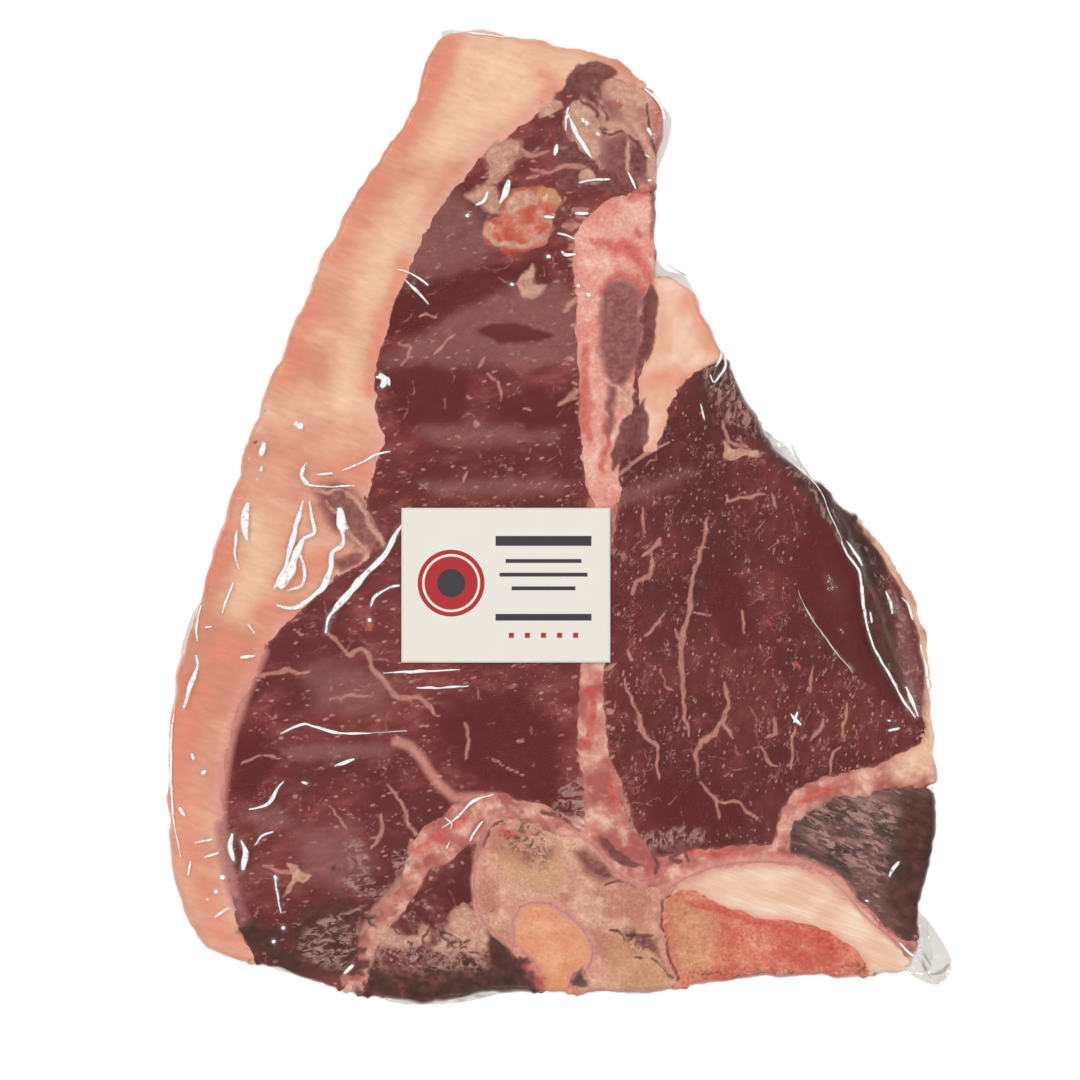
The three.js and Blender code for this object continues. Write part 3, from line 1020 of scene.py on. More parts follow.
# Marbling and spurs of fat in the muscles, and pale membrane in the tail, in photo pixels.
MARBLING = (
    *lines(1.3, (413, 837, 416, 855, 405, 881, 390, 894, 377, 912, 366, 933, 363, 957, 348, 975, 343, 983)),
    *lines(0.72, (560, 228, 570, 227, 580, 224)),
    *lines(0.64, (565, 314, 570, 306, 578, 297), (558, 407, 568, 399, 580, 391)),
    *lines(0.6,
        (327, 632, 338, 641, 349, 655, 363, 650, 371, 657, 374, 669, 383, 677, 391, 688, 399, 696, 410, 698,
        419, 696, 430, 707, 441, 714),
    ),
    *lines(0.52,
        (706, 517, 704, 539, 700, 555, 696, 567, 690, 586, 689, 608, 684, 627, 681, 642, 682, 664, 684, 689,
        685, 717, 689, 736),
    ),
    *lines(0.5,
        (661, 537, 657, 545, 643, 556), (651, 558, 648, 576, 634, 583, 631, 594),
        (725, 680, 727, 702, 723, 720, 712, 735, 700, 742, 695, 755, 696, 774), (560, 68, 575, 63, 592, 62),
    ),
    *lines(0.48, (473, 423, 479, 426)),
    *lines(0.45,
        (383, 812, 380, 835, 372, 850), (520, 150, 536, 156, 548, 150),
        (530, 168, 552, 172, 572, 166, 590, 170), (524, 178, 540, 176),
    ),
    *lines(0.44, (609, 484, 622, 473, 641, 457, 668, 443)),
    *lines(0.4,
        (257, 674, 271, 673, 291, 670, 299, 675, 312, 671),
        (385, 783, 397, 794, 405, 810, 410, 824, 419, 833), (516, 741, 524, 742), (723, 720, 732, 738),
        (724, 422, 727, 441, 749, 449), (262, 866, 280, 872, 298, 870), (586, 150, 598, 158, 604, 170),
        (484, 202, 494, 212, 500, 204),
    ),
    *lines(0.36,
        (623, 670, 624, 686, 631, 699, 637, 714, 642, 730, 657, 746, 656, 777),
        (698, 780, 717, 799, 717, 818), (759, 747, 768, 761, 778, 764), (773, 717, 775, 733, 765, 738),
        (822, 717, 815, 733, 808, 739), (840, 745, 831, 758, 829, 774),
    ),
    *lines(0.32,
        (466, 721, 470, 738, 466, 760), (492, 759, 507, 768, 522, 773),
        (398, 342, 410, 347, 408, 358, 400, 366), (436, 355, 446, 344, 455, 336), (478, 369, 487, 357),
        (487, 373, 499, 382, 500, 402), (560, 366, 570, 364), (696, 548, 708, 547), (642, 508, 645, 533),
        (665, 611, 652, 628, 645, 636), (626, 650, 631, 662), (675, 630, 679, 641), (740, 608, 743, 633),
        (725, 492, 728, 501, 747, 498, 765, 494), (772, 492, 776, 511), (717, 799, 737, 802, 756, 818),
        (793, 727, 790, 767), (812, 663, 809, 683, 806, 692), (845, 700, 842, 739), (727, 441, 722, 460),
    ),
    *lines(0.28,
        (294, 630, 302, 635), (327, 802, 338, 816, 349, 830), (418, 318, 426, 315, 436, 318),
        (455, 436, 461, 439), (468, 472, 466, 482), (523, 408, 532, 410), (420, 484, 428, 487),
        (467, 396, 471, 399), (243, 760, 262, 755, 282, 757), (330, 700, 352, 694, 372, 697),
        (654, 623, 662, 620), (692, 611, 711, 616), (657, 670, 665, 686, 675, 689),
    ),
)

# Fine threads, lace, crumbs and cracks, scattered with fixed seeds or drawn round one by one.
THREADS = (
    *squiggles(11, 60, (380, 290, 585, 510), 15), *squiggles(12, 70, (250, 600, 560, 830), -25),
    *squiggles(13, 30, (420, 140, 575, 290), 20), *squiggles(14, 90, (612, 450, 786, 830), 75),
    *squiggles(15, 40, (690, 400, 800, 520), 20), *squiggles(16, 30, (240, 800, 420, 960), 10),
    *squiggles(17, 20, (400, 850, 500, 960), -30), *squiggles(18, 30, (790, 700, 880, 790), 75),
    *squiggles(19, 26, (560, 776, 600, 830), 80, (0.1, 0.3)),
)
LACE = (
    *patches(2.2,
        (798, 806, 840, 794, 884, 796, 900, 812, 888, 850, 880, 884, 862, 880, 836, 858, 806, 840),
    ),
    *patches(1.2,
        (306, 926, 330, 914, 360, 912, 362, 930, 346, 968, 316, 966, 300, 946),
        (374, 946, 430, 944, 490, 950, 486, 968, 430, 970, 376, 964),
        (704, 366, 736, 372, 760, 412, 756, 436, 728, 424, 708, 396),
    ),
    *patches(1.0, (338, 880, 360, 872, 384, 884, 404, 880, 390, 896, 360, 898)),
    *patches(0.9,
        (388, 858, 398, 846, 414, 848, 412, 866, 398, 876),
        (636, 836, 664, 826, 704, 826, 706, 840, 680, 846, 640, 848),
        (344, 842, 358, 836, 370, 850, 372, 880, 352, 880),
        (560, 780, 580, 772, 590, 800, 588, 828, 566, 822, 552, 812),
    ),
    *patches(0.7, (616, 780, 630, 800, 634, 830, 622, 826, 612, 800)),
)
CRUMBS = (
    *squiggles(41, 5, (604, 838, 690, 858), -30, (0.3, 0.6)),
    *squiggles(43, 14, (446, 906, 490, 958), 70, (0.1, 0.25)),
    *squiggles(44, 10, (376, 926, 430, 946), 10, (0.1, 0.2)),
    *squiggles(46, 5, (622, 932, 650, 960), 60, (0.25, 0.45)),
    *squiggles(58, 26, (350, 964, 530, 994), 8, (0.4, 1.1)),
)
CRACKS = (
    *squiggles(45, 34, (350, 968, 512, 1000), 5, (0.6, 1.5)),
    *squiggles(47, 14, (376, 926, 476, 960), 60, (0.18, 0.34)),
    *squiggles(48, 22, (300, 908, 366, 972), 20, (0.25, 0.6)),
    *squiggles(49, 14, (250, 925, 310, 975), -30, (0.5, 1.1)),
)

# Fine hairs across an edge: the tenderloin's rim and the seam's borders.
FUR = (
    *hairs(51, 70, (892, 586, 906, 616, 914, 660, 917, 712), 170, 9),
    *hairs(52, 30, (764, 424, 786, 452, 806, 476), 200, 8),
    *hairs(53, 24, (866, 548, 884, 572, 892, 590), 150, 8),
)
SPIKES = (
    *hairs(54, 12, (590, 204, 582, 222, 582, 260, 582, 300), 192, 14, 0.45),
    *hairs(55, 8, (584, 300, 582, 360, 584, 420), 172, 9, 0.34),
    *hairs(56, 12, (604, 640, 606, 700, 612, 760), 20, 8, 0.34),
    *hairs(57, 9, (330, 470, 352, 470, 368, 492), 250, 8, 0.3),
)

# Cream lumps and flaps of fat in the tail, the seam and the lower edge.
CREAM_BITS = (
    *patches(1.5,
        (432, 948, 444, 934, 450, 914, 462, 902, 474, 910, 484, 908, 490, 922, 492, 942, 478, 958, 462, 952,
        452, 960, 440, 952), (482, 156, 492, 145, 506, 140, 518, 140, 522, 150, 514, 163, 508, 171,
        499, 182, 486, 184, 490, 168),
    ),
    *patches(1.3,
        (370, 932, 384, 924, 394, 930, 404, 936, 418, 934, 420, 922, 428, 924, 430, 938, 416, 946, 396, 946,
        376, 944),
        (466, 198, 474, 192, 484, 184, 496, 186, 498, 198, 498, 214, 488, 217, 482, 206, 470, 202),
    ),
    *patches(0.9,
        (504, 206, 508, 196, 520, 192, 534, 194, 536, 204, 522, 208, 510, 214),
        (608, 84, 632, 80, 644, 88, 646, 104, 634, 112, 622, 104, 606, 98),
    ),
    *patches(0.8,
        (517, 287, 523, 276, 532, 266, 536, 271, 534, 284, 546, 284, 541, 293, 532, 299, 522, 296),
    ),
    *patches(0.6, (540, 101, 552, 98, 562, 101, 564, 108, 550, 114, 540, 118)),
    *patches(0.5, (618, 394, 628, 386, 636, 391, 631, 400, 635, 408, 626, 414, 617, 408)),
    *patches(0.4,
        (284, 862, 292, 864, 302, 872, 316, 876, 304, 881, 296, 879, 288, 892, 283, 896, 291, 878,
        289, 868), (571, 102, 580, 102, 590, 110, 598, 122, 603, 131, 600, 138, 594, 137, 599, 148,
        602, 158, 594, 160, 585, 150, 575, 132, 570, 118),
        (578, 176, 584, 171, 594, 172, 596, 182, 580, 184),
    ),
    *patches(0.35, (722, 440, 728, 447, 745, 450, 758, 452, 759, 458, 744, 457, 730, 461, 722, 458)),
    *lines(0.8,
        (484, 232, 494, 242, 512, 247, 530, 246, 542, 238),
        (624, 110, 636, 124, 644, 138, 650, 156, 652, 180), (606, 124, 620, 124, 628, 132),
    ),
    *lines(0.7, (350, 492, 362, 506, 370, 524, 384, 545)),
    *lines(0.6, (326, 500, 338, 516, 350, 534, 366, 548)),
    *lines(0.55, (627, 142, 629, 156, 628, 172)),
    *lines(0.5, (318, 488, 330, 492, 344, 490)),
)

# Lean shreds between the tail's membranes and along the bones, and painted shade in the tail: dark lines
# beside its raised flap and pale tube, and a dark patch in its hole.
TAIL_LEAN_AND_SHADE = (
    *patches(0.9,
        (567, 76, 573, 68, 581, 63, 590, 60, 606, 62, 617, 70, 618, 76, 606, 80, 601, 86, 600, 100,
        596, 110, 586, 97, 574, 93, 558, 98, 551, 101, 556, 90, 566, 84),
    ),
    *patches(0.8,
        (556, 128, 566, 136, 578, 152, 590, 164, 604, 168, 620, 174, 640, 182, 640, 192, 556, 192),
        (480, 184, 502, 186, 500, 200, 498, 214, 500, 219, 480, 222),
        (641, 302, 650, 284, 656, 300, 656, 332, 652, 350, 644, 364, 640, 352, 645, 330, 642, 315),
        (654, 250, 664, 262, 672, 272, 662, 270, 655, 262),
        (622, 418, 632, 414, 644, 398, 648, 440, 640, 452, 622, 462, 612, 470, 612, 450),
    ),
    *patches(0.6,
        (600, 832, 612, 844, 626, 856, 642, 866, 632, 868, 616, 860, 602, 846),
        # Painted shade in the tail's hole.
        (634, 149, 640, 145, 644, 156, 642, 170, 636, 172, 632, 160),
    ),
    *patches(0.5, (662, 846, 674, 840, 690, 838, 702, 842, 694, 850, 680, 851, 668, 854)),
    *lines(0.5, (542, 810, 552, 812, 566, 820, 578, 830)),
    # Painted shadow beside the tail's pale tube.
    *lines(0.45, (622, 142, 623, 158, 627, 172)),
    *lines(0.4,
        # The second of these is painted shade under the tail's raised flap.
        (570, 104, 577, 98, 588, 104, 597, 116), (604, 134, 622, 132, 634, 138, 643, 150, 648, 164),
        (606, 884, 620, 880, 634, 884), (622, 802, 625, 814, 632, 824),
    ),
    *lines(0.38, (661, 900, 662, 925, 667, 950, 678, 978)),
    *lines(0.35,
        # The second of these is painted shade along the raised flap's left edge.
        (601, 128, 604, 136), (600, 104, 606, 118, 604, 130), (646, 104, 648, 124, 654, 146, 657, 168),
    ),
)

# Dull red marrow in the bones, and its like in the tail.
MARROW = (
    *patches(2.0, (604, 140, 624, 134, 640, 146, 650, 178, 632, 184, 606, 174)),
    *patches(1.9,
        (316, 488, 336, 480, 354, 488, 368, 504, 380, 524, 390, 548, 374, 556, 356, 548, 342, 534, 328, 524,
        318, 506),
    ),
    *patches(1.6, (572, 850, 584, 848, 604, 862, 616, 878, 600, 880, 582, 870)),
    *patches(1.4,
        (604, 292, 612, 284, 622, 280, 634, 286, 642, 297, 642, 316, 645, 330, 640, 352, 630, 380, 622, 388,
        612, 384, 604, 372, 600, 345, 597, 318),
    ),
    *patches(1.0,
        (606, 384, 614, 388, 616, 402, 611, 430, 606, 440, 605, 410),
        (624, 930, 642, 932, 656, 942, 664, 966, 654, 954, 638, 944),
    ),
    *patches(0.9, (651, 186, 658, 186, 657, 210, 655, 236, 650, 240, 650, 210)),
    *patches(0.8, (336, 560, 352, 552, 368, 554, 356, 566, 340, 574)),
)

# Soft near-black meat along the lower edge, the strap and the tenderloin's dried rim.
DARK_MEAT = (
    *patches(1.6, (926, 800, 934, 800, 934, 850, 926, 900, 916, 930, 906, 928, 918, 880)),
    *patches(1.4, (268, 950, 285, 946, 300, 958, 306, 974, 284, 972)),
    *patches(1.2,
        (238, 930, 252, 918, 260, 930, 250, 944), (752, 406, 766, 420, 786, 446, 804, 470, 822, 490,
        844, 509, 862, 528, 878, 556, 882, 574, 872, 586, 860, 566, 846, 544, 822, 510, 800, 480, 776, 452,
        756, 426), (700, 372, 716, 362, 732, 372, 748, 394, 756, 414, 744, 404, 724, 392, 704, 384),
    ),
    *patches(1.1, (486, 928, 497, 936, 512, 954, 526, 966, 518, 986, 500, 986, 490, 960)),
    *patches(0.9, (570, 986, 574, 974, 582, 968, 586, 976, 588, 986)),
    *lines(0.55, (335, 869)),
    *lines(0.5, (626, 934, 634, 936)),
    *lines(0.3, (650, 958, 660, 966, 672, 976)),
    *lines(0.2, (262, 414, 266, 412), (254, 440, 258, 441)),
)
DUSK = (
    *patches(2.4, (904, 790, 934, 792, 936, 850, 930, 892, 916, 932, 898, 930, 884, 900, 898, 850)),
    *patches(2.0,
        (862, 570, 882, 580, 893, 606, 897, 640, 902, 676, 902, 702, 884, 676, 868, 646, 862, 610),
        (300, 905, 350, 900, 362, 930, 350, 975, 310, 972, 298, 940),
        (240, 925, 262, 915, 272, 950, 250, 952), (350, 982, 372, 970, 396, 970, 420, 964, 452, 960,
        486, 964, 520, 968, 545, 980, 545, 998, 480, 1000, 400, 1000),
    ),
    *patches(1.4, (690, 380, 720, 376, 760, 420, 790, 462, 776, 470, 746, 430, 716, 402)),
    *patches(1.0,
        (752, 406, 800, 464, 856, 516, 884, 560, 890, 590, 866, 590, 840, 540, 800, 492, 760, 440),
    ),
)

# Deep red: wet bands in the two muscles, and brighter stains on bone and fat.
BLOOD = (
    *patches(4.0, (430, 706, 520, 690, 560, 730, 560, 790, 500, 790, 450, 760)),
    *patches(3.4, (497, 392, 540, 388, 580, 396, 580, 426, 530, 430, 500, 420)),
    *patches(3.0,
        (384, 300, 430, 286, 468, 270, 540, 262, 560, 280, 500, 292, 424, 330, 384, 340),
        (384, 372, 430, 366, 470, 380, 462, 420, 400, 430),
        (646, 772, 700, 780, 747, 800, 740, 830, 690, 834, 650, 824),
    ),
    *patches(2.6, (232, 740, 262, 724, 284, 760, 250, 800, 234, 790)),
    *patches(2.0,
        (520, 790, 548, 780, 580, 800, 570, 812, 545, 806),
        (436, 900, 452, 880, 476, 890, 470, 902, 446, 916),
        (700, 560, 740, 580, 760, 640, 730, 650, 706, 610),
    ),
    *patches(1.2,
        (476, 331, 484, 326, 500, 324, 522, 326, 542, 330, 556, 336, 544, 342, 524, 345, 504, 344,
        488, 339),
    ),
    *patches(1.0,
        (806, 496, 820, 512, 836, 540, 852, 560, 858, 580, 860, 610, 866, 640, 880, 665, 896, 690, 900, 706,
        890, 707, 872, 690, 850, 668, 826, 642, 806, 612, 797, 590, 790, 560, 796, 545, 806, 538, 806, 520),
    ),
)
RED = (
    *patches(1.2, (499, 224, 506, 220, 514, 224, 514, 236, 506, 240, 499, 234)),
    *patches(0.8, (538, 206, 552, 206, 554, 213, 544, 216)),
    *lines(1.6, (600, 244, 606, 244, 614, 250, 624, 247, 634, 254, 642, 266, 648, 284)),
    *lines(1.4, (603, 292, 611, 281, 622, 276, 634, 281, 641, 292)),
    *lines(1.3, (524, 962, 534, 968, 540, 984)),
    *lines(1.2, (417, 848, 432, 840, 448, 828, 462, 818)),
    *lines(1.0, (586, 350, 584, 390, 586, 430), (628, 199, 636, 198, 646, 190), (502, 830, 512, 834)),
    *lines(0.9,
        (592, 242, 600, 246), (690, 903, 716, 908, 750, 920, 790, 930, 820, 940, 838, 956),
        (504, 250, 512, 256), (690, 850, 716, 853, 750, 853), (590, 690, 592, 720, 588, 744),
        (612, 786, 616, 806, 624, 822), (796, 800, 812, 794, 834, 788),
    ),
    *lines(0.8, (636, 230, 640, 236)),
    *lines(0.7,
        (582, 856, 592, 868, 604, 874), (372, 620, 371, 626), (585, 360, 588, 400, 590, 440),
        (604, 420, 608, 440, 602, 470),
    ),
    *lines(0.6, (617, 101, 622, 105), (868, 532, 874, 540)),
    *lines(0.5, (655, 92, 659, 110, 655, 130)),
    *lines(0.4, (792, 663, 796, 667)),
    *lines(0.36, (766, 622, 770, 627)),
)

# Warm blush in the fat, and painted sheen over the meat: pale greyish patches where the film's soft
# reflection and haze lie over it.
BLUSH = (
    *lines(4.0, (190, 690, 182, 730, 180, 770, 184, 812, 196, 860)),
    *lines(3.4, (230, 500, 220, 540, 212, 570)),
    *lines(3.0, (690, 296, 704, 318, 712, 340), (215, 924, 226, 936, 238, 940)),
    *lines(2.8, (312, 300, 300, 340, 286, 380)),
    *lines(2.6,
        (452, 36, 440, 70, 426, 96, 408, 131, 396, 150), (380, 170, 366, 200, 350, 232, 336, 258),
        (266, 612, 280, 606, 296, 614), (216, 652, 228, 646, 240, 658), (205, 880, 214, 905),
    ),
    *lines(2.4,
        (652, 380, 672, 378, 686, 384), (330, 470, 350, 462, 366, 470), (300, 570, 322, 560, 344, 556),
    ),
    *lines(2.2, (508, 158, 516, 152)),
    *lines(2.0, (540, 72, 556, 84, 545, 98)),
    *lines(1.8, (404, 262, 392, 300, 380, 344, 372, 390), (266, 640, 248, 700, 232, 752, 230, 800)),
)
# Painted sheen: the film's reflection and haze over the meat, laid in as colour.
PAINTED_SHEEN = (
    *patches(4.4, (294, 830, 350, 824, 376, 866, 340, 890, 304, 876)),
    *patches(4.0, (302, 668, 350, 662, 391, 690, 380, 712, 320, 710)),
    *patches(3.4, (412, 200, 450, 186, 484, 222, 500, 244, 505, 250, 462, 270, 430, 280, 404, 270)),
    *patches(3.0,
        (400, 350, 428, 326, 458, 302, 500, 280, 560, 282, 580, 300, 580, 366, 500, 366, 440, 366,
        386, 366),
    ),
    *patches(2.8, (417, 432, 470, 424, 560, 432, 556, 442, 450, 446)),
    *patches(2.4, (600, 500, 640, 484, 690, 468, 692, 474, 650, 496, 606, 512)),
    *patches(2.2, (820, 560, 834, 566, 846, 590, 842, 606, 828, 590)),
    *patches(2.0,
        (240, 812, 280, 806, 296, 822, 262, 832),
        (888, 590, 906, 614, 918, 660, 920, 700, 910, 714, 896, 664),
        (420, 482, 500, 478, 570, 482, 560, 494, 440, 496),
    ),
    *patches(1.6, (263, 748, 330, 742, 397, 744, 390, 757, 300, 760)),
    *patches(1.2, (606, 300, 622, 296, 641, 306, 636, 314, 606, 314)),
    *patches(1.0, (602, 142, 622, 134, 640, 142, 650, 160, 652, 182, 630, 180, 606, 172, 594, 162)),
)

# Greyish ragged smears of membrane and fat dust, and one thin pale line on the tenderloin's flank that is a
# painted highlight.
SMEARS_AND_GLINT = (
    *patches(0.9,
        (310, 926, 328, 918, 343, 930, 338, 944, 320, 942), (738, 400, 750, 412, 746, 428, 736, 420),
    ),
    *lines(0.8,
        (312, 950, 336, 950, 342, 960, 320, 962), (395, 903, 412, 898, 429, 906),
        (612, 552, 626, 558, 638, 566),
    ),
    *lines(0.6, (776, 442, 800, 470, 820, 505, 838, 540)),
    *lines(0.5, (322, 920, 345, 912, 365, 906)),
    *lines(0.4, (556, 146, 570, 150, 566, 158, 582, 160)),
    *lines(0.35, (600, 182, 580, 186, 566, 194, 562, 208, 568, 216, 578, 218)),
    # The second line here is a painted highlight along the tenderloin flank's left edge.
    *lines(0.3, (508, 160, 536, 152, 548, 136), (800, 600, 808, 615, 822, 636, 838, 655, 852, 670)),
)

# Gristle round the bones, a pale pink band with a thin purple line in it, and pink lines in fat and loin.
RINGS = (
    (
        660, 892, 683, 878, 712, 866, 740, 861, 769, 861, 801, 863, 827, 875, 847, 895, 864, 915, 884, 932,
        898, 944,
    ),
    (
        515, 945, 513, 920, 520, 906, 531, 901, 550, 902, 567, 912, 584, 929, 592, 943, 592, 957, 586, 970,
        580, 977, 577, 970, 572, 974, 568, 986,
    ),
    (492, 817, 481, 837, 477, 859, 474, 881, 477, 904, 483, 920, 497, 934, 517, 945),
    (567, 826, 592, 842, 606, 859, 623, 876, 639, 884),
    (540, 972, 533, 958, 520, 948),
)
GRISTLE = (
    *lines(1.7, RINGS[0][:16]),
    *lines(1.3, (264, 652, 247, 690, 233, 730, 225, 770, 221, 812, 224, 850, 233, 892)),
    *lines(1.15, (397, 741, 410, 745, 422, 758, 430, 771, 441, 785, 455, 797, 480, 796)),
    *lines(0.8, *RINGS),
)
VEINS = (
    *lines(0.24, *RINGS),
    *lines(1.5, (221, 826, 226, 862, 236, 896, 246, 924)),
)

# Yellowed patches and dark stains on the bones.
GOLD = (
    *patches(3.0, (668, 900, 690, 898, 712, 906, 718, 940, 704, 972, 678, 972, 667, 940)),
    *patches(2.6, (500, 852, 530, 866, 556, 850, 570, 868, 552, 886, 516, 884, 498, 868)),
    *patches(2.0, (606, 962, 616, 930, 640, 922, 656, 934, 668, 972, 662, 988, 606, 990)),
    *patches(1.2, (236, 906, 246, 912, 252, 926, 240, 930)),
    *patches(0.9, (538, 190, 546, 184, 556, 190, 562, 198, 556, 208, 544, 204, 538, 198)),
)
STAINS = (
    *patches(2.2,
        (502, 826, 514, 818, 532, 821, 546, 833, 553, 849, 546, 864, 534, 868, 526, 856, 514, 850,
        503, 846),
    ),
    *patches(1.4, (620, 930, 640, 926, 656, 938, 652, 954, 630, 950)),
    *lines(1.3, (697, 973, 740, 975, 790, 974, 840, 971, 864, 968)),
    *lines(0.6, (600, 864, 610, 876)),
)

# Pale cream stretches of the fat cap.
PALE = (
    *patches(5.0,
        (462, 40, 520, 44, 580, 54, 604, 66, 560, 82, 540, 100, 490, 124, 440, 170, 418, 160, 440, 100),
        (400, 190, 430, 176, 420, 230, 390, 290, 360, 330, 350, 300),
    ),
    *lines(4.0, (350, 360, 344, 400), (250, 520, 262, 560, 240, 600)),
    *lines(3.0, (902, 768, 928, 748)),
    *lines(1.3, (846, 509, 868, 530, 888, 562, 906, 594, 920, 624, 928, 670, 932, 720, 930, 760)),
)

STROKES = {
    Layer.PALE: PALE,
    Layer.PAINTED_SHEEN: PAINTED_SHEEN,
    Layer.BLOOD: BLOOD,
    Layer.DUSK: DUSK,
    Layer.BLUSH: BLUSH,
    Layer.GOLD: GOLD,
    Layer.RED: RED,
    Layer.LEAN_AND_SHADE: TAIL_LEAN_AND_SHADE + CRUMBS,
    Layer.MARROW: MARROW,
    Layer.CREAM: CREAM_BITS,
    Layer.THREAD: THREADS,
    Layer.FAT: MARBLING + SPIKES,
    Layer.GRISTLE: GRISTLE,
    Layer.VEIN: VEINS,
    Layer.STAIN: STAINS,
    Layer.DARK: DARK_MEAT + CRACKS,
    Layer.SMEAR_AND_GLINT: SMEARS_AND_GLINT + LACE + FUR,
}

# The raised rim of film beside the tenderloin's sloping flank: a fold of the film, whose white is a painted
# highlight, and a form of the meat.
FLANK_RIM = (
    840, 542, 848, 558, 858, 572, 861, 595, 864, 620, 869, 639, 878, 658, 891, 680, 903, 702, 914, 717,
)

# Pinched folds of the film, in photo pixels, laid where the film glints: they raise its ridges, and their
# milky white is a painted highlight.
GLINT_FOLDS = (
    *folds(1.0, (303, 542, 296, 558, 290, 574, 280, 587)),
    *folds(0.95, (341, 508, 342, 520, 344, 532)),
    *folds(0.8, (298, 428, 303, 424)),
    *folds(0.6, (265, 443, 262, 456), (305, 468, 303, 476, 309, 484)),
    *folds(0.55,
        (569, 117, 575, 131, 583, 146, 591, 158),
        (327, 632, 330, 617, 343, 601, 365, 575, 384, 556, 397, 533, 405, 522),
    ),
    *folds(0.5,
        (249, 503, 246, 516, 246, 530, 248, 540),
        (341, 508, 341, 524, 344, 543, 333, 553, 331, 569, 323, 588, 304, 604, 291, 608, 278, 605),
        (380, 374, 385, 381, 382, 388), (198, 655, 199, 664, 196, 674, 191, 688, 185, 707),
        (222, 875, 225, 878), (216, 889, 218, 892), (233, 833, 231, 847, 235, 860),
        (242, 840, 247, 852, 243, 869), (275, 875, 277, 879),
    ),
    *folds(0.45,
        (466, 216, 470, 216), (585, 122, 588, 125), (304, 501, 296, 530, 291, 550, 286, 569, 275, 588),
        (369, 618, 371, 621), (283, 926, 285, 929), (273, 939, 275, 942),
    ),
    *folds(0.4,
        (509, 181, 506, 193, 500, 204), (546, 258, 550, 258), (510, 285, 514, 286), (587, 294, 590, 297),
        (596, 133, 599, 136), (263, 467, 262, 472), (204, 770, 206, 773), (207, 897, 209, 899),
    ),
    *folds(0.35,
        (310, 501, 314, 521, 315, 533, 304, 540, 300, 550, 306, 569, 302, 585, 288, 590),
        (181, 806, 186, 815), (922, 645, 927, 670, 930, 695),
    ),
    *folds(0.3,
        (557, 145, 555, 156), (577, 286, 580, 288), (648, 128, 651, 134), (645, 155, 649, 158),
        (258, 479, 260, 480), (372, 606, 376, 596, 388, 588, 400, 585), (376, 377, 388, 379, 390, 386),
        (196, 842, 213, 838), (216, 916, 230, 907), (284, 781, 278, 788, 271, 801, 263, 806, 250, 808),
        (276, 876, 277, 891, 281, 912), (345, 972, 354, 964),
        (493, 793, 480, 797, 470, 803, 457, 816, 442, 827), (483, 820, 475, 831, 470, 840),
        (446, 817, 452, 822, 450, 829), (905, 686, 910, 700, 917, 716), (790, 713, 794, 718, 800, 724),
        (886, 720, 889, 720), (903, 598, 910, 606, 914, 620), (898, 861, 892, 868, 888, 876),
        (898, 941, 906, 950, 915, 958), (915, 947, 925, 962, 936, 984), (936, 981, 948, 978, 956, 970),
    ),
    *folds(0.26, FLANK_RIM),
    *folds(0.25,
        (569, 106, 566, 118, 566, 131), (579, 183, 594, 181, 610, 180), (575, 214, 588, 214),
        (476, 206, 484, 202, 488, 192), (544, 218, 554, 218), (557, 234, 566, 236, 575, 240),
        (561, 252, 566, 256, 576, 255), (397, 270, 413, 275, 429, 286), (628, 173, 632, 181, 636, 190),
        (648, 181, 652, 181), (644, 88, 654, 96, 662, 108, 664, 122), (238, 530, 236, 550, 240, 569),
        (307, 463, 302, 472, 304, 482, 314, 486, 335, 487, 355, 486),
        (343, 471, 359, 464, 378, 455, 391, 452), (202, 605, 198, 623, 198, 641),
        (234, 582, 227, 602, 223, 613), (206, 627, 213, 626), (249, 623, 256, 633), (241, 657, 256, 655),
        (193, 752, 195, 759), (206, 856, 220, 852), (191, 860, 189, 874), (303, 781, 309, 783),
        (256, 844, 263, 835, 274, 831), (384, 672, 410, 671, 438, 670, 460, 669), (446, 848, 450, 841),
        (797, 711, 793, 722), (887, 730, 898, 727), (886, 591, 890, 602, 892, 614), (869, 611, 870, 623),
        (864, 899, 868, 900), (921, 947, 928, 958, 937, 972), (758, 419, 766, 428, 776, 435),
        (722, 349, 720, 358, 715, 367), (725, 354, 724, 368, 714, 382, 709, 375),
        (692, 287, 698, 293, 703, 301),
    ),
    *folds(0.24, (846, 542, 854, 553, 861, 566)),
    *folds(0.22,
        (281, 733, 301, 724, 316, 726, 338, 732, 371, 732, 408, 730), (335, 765, 344, 762, 355, 758),
        (417, 687, 438, 687, 469, 685),
    ),
    *folds(0.2,
        (405, 280, 417, 292, 429, 305), (462, 30, 488, 34, 516, 36), (318, 475, 333, 474),
        (176, 700, 172, 740, 172, 780, 175, 820, 182, 856), (795, 443, 803, 460, 816, 478, 836, 498),
        (667, 259, 678, 266, 690, 272), (700, 404, 704, 420),
    ),
    *folds(0.1, (762, 424, 788, 458, 816, 486, 830, 516, 842, 544)),
    *folds(0.09, (797, 590, 808, 614, 830, 646, 852, 672)),
)

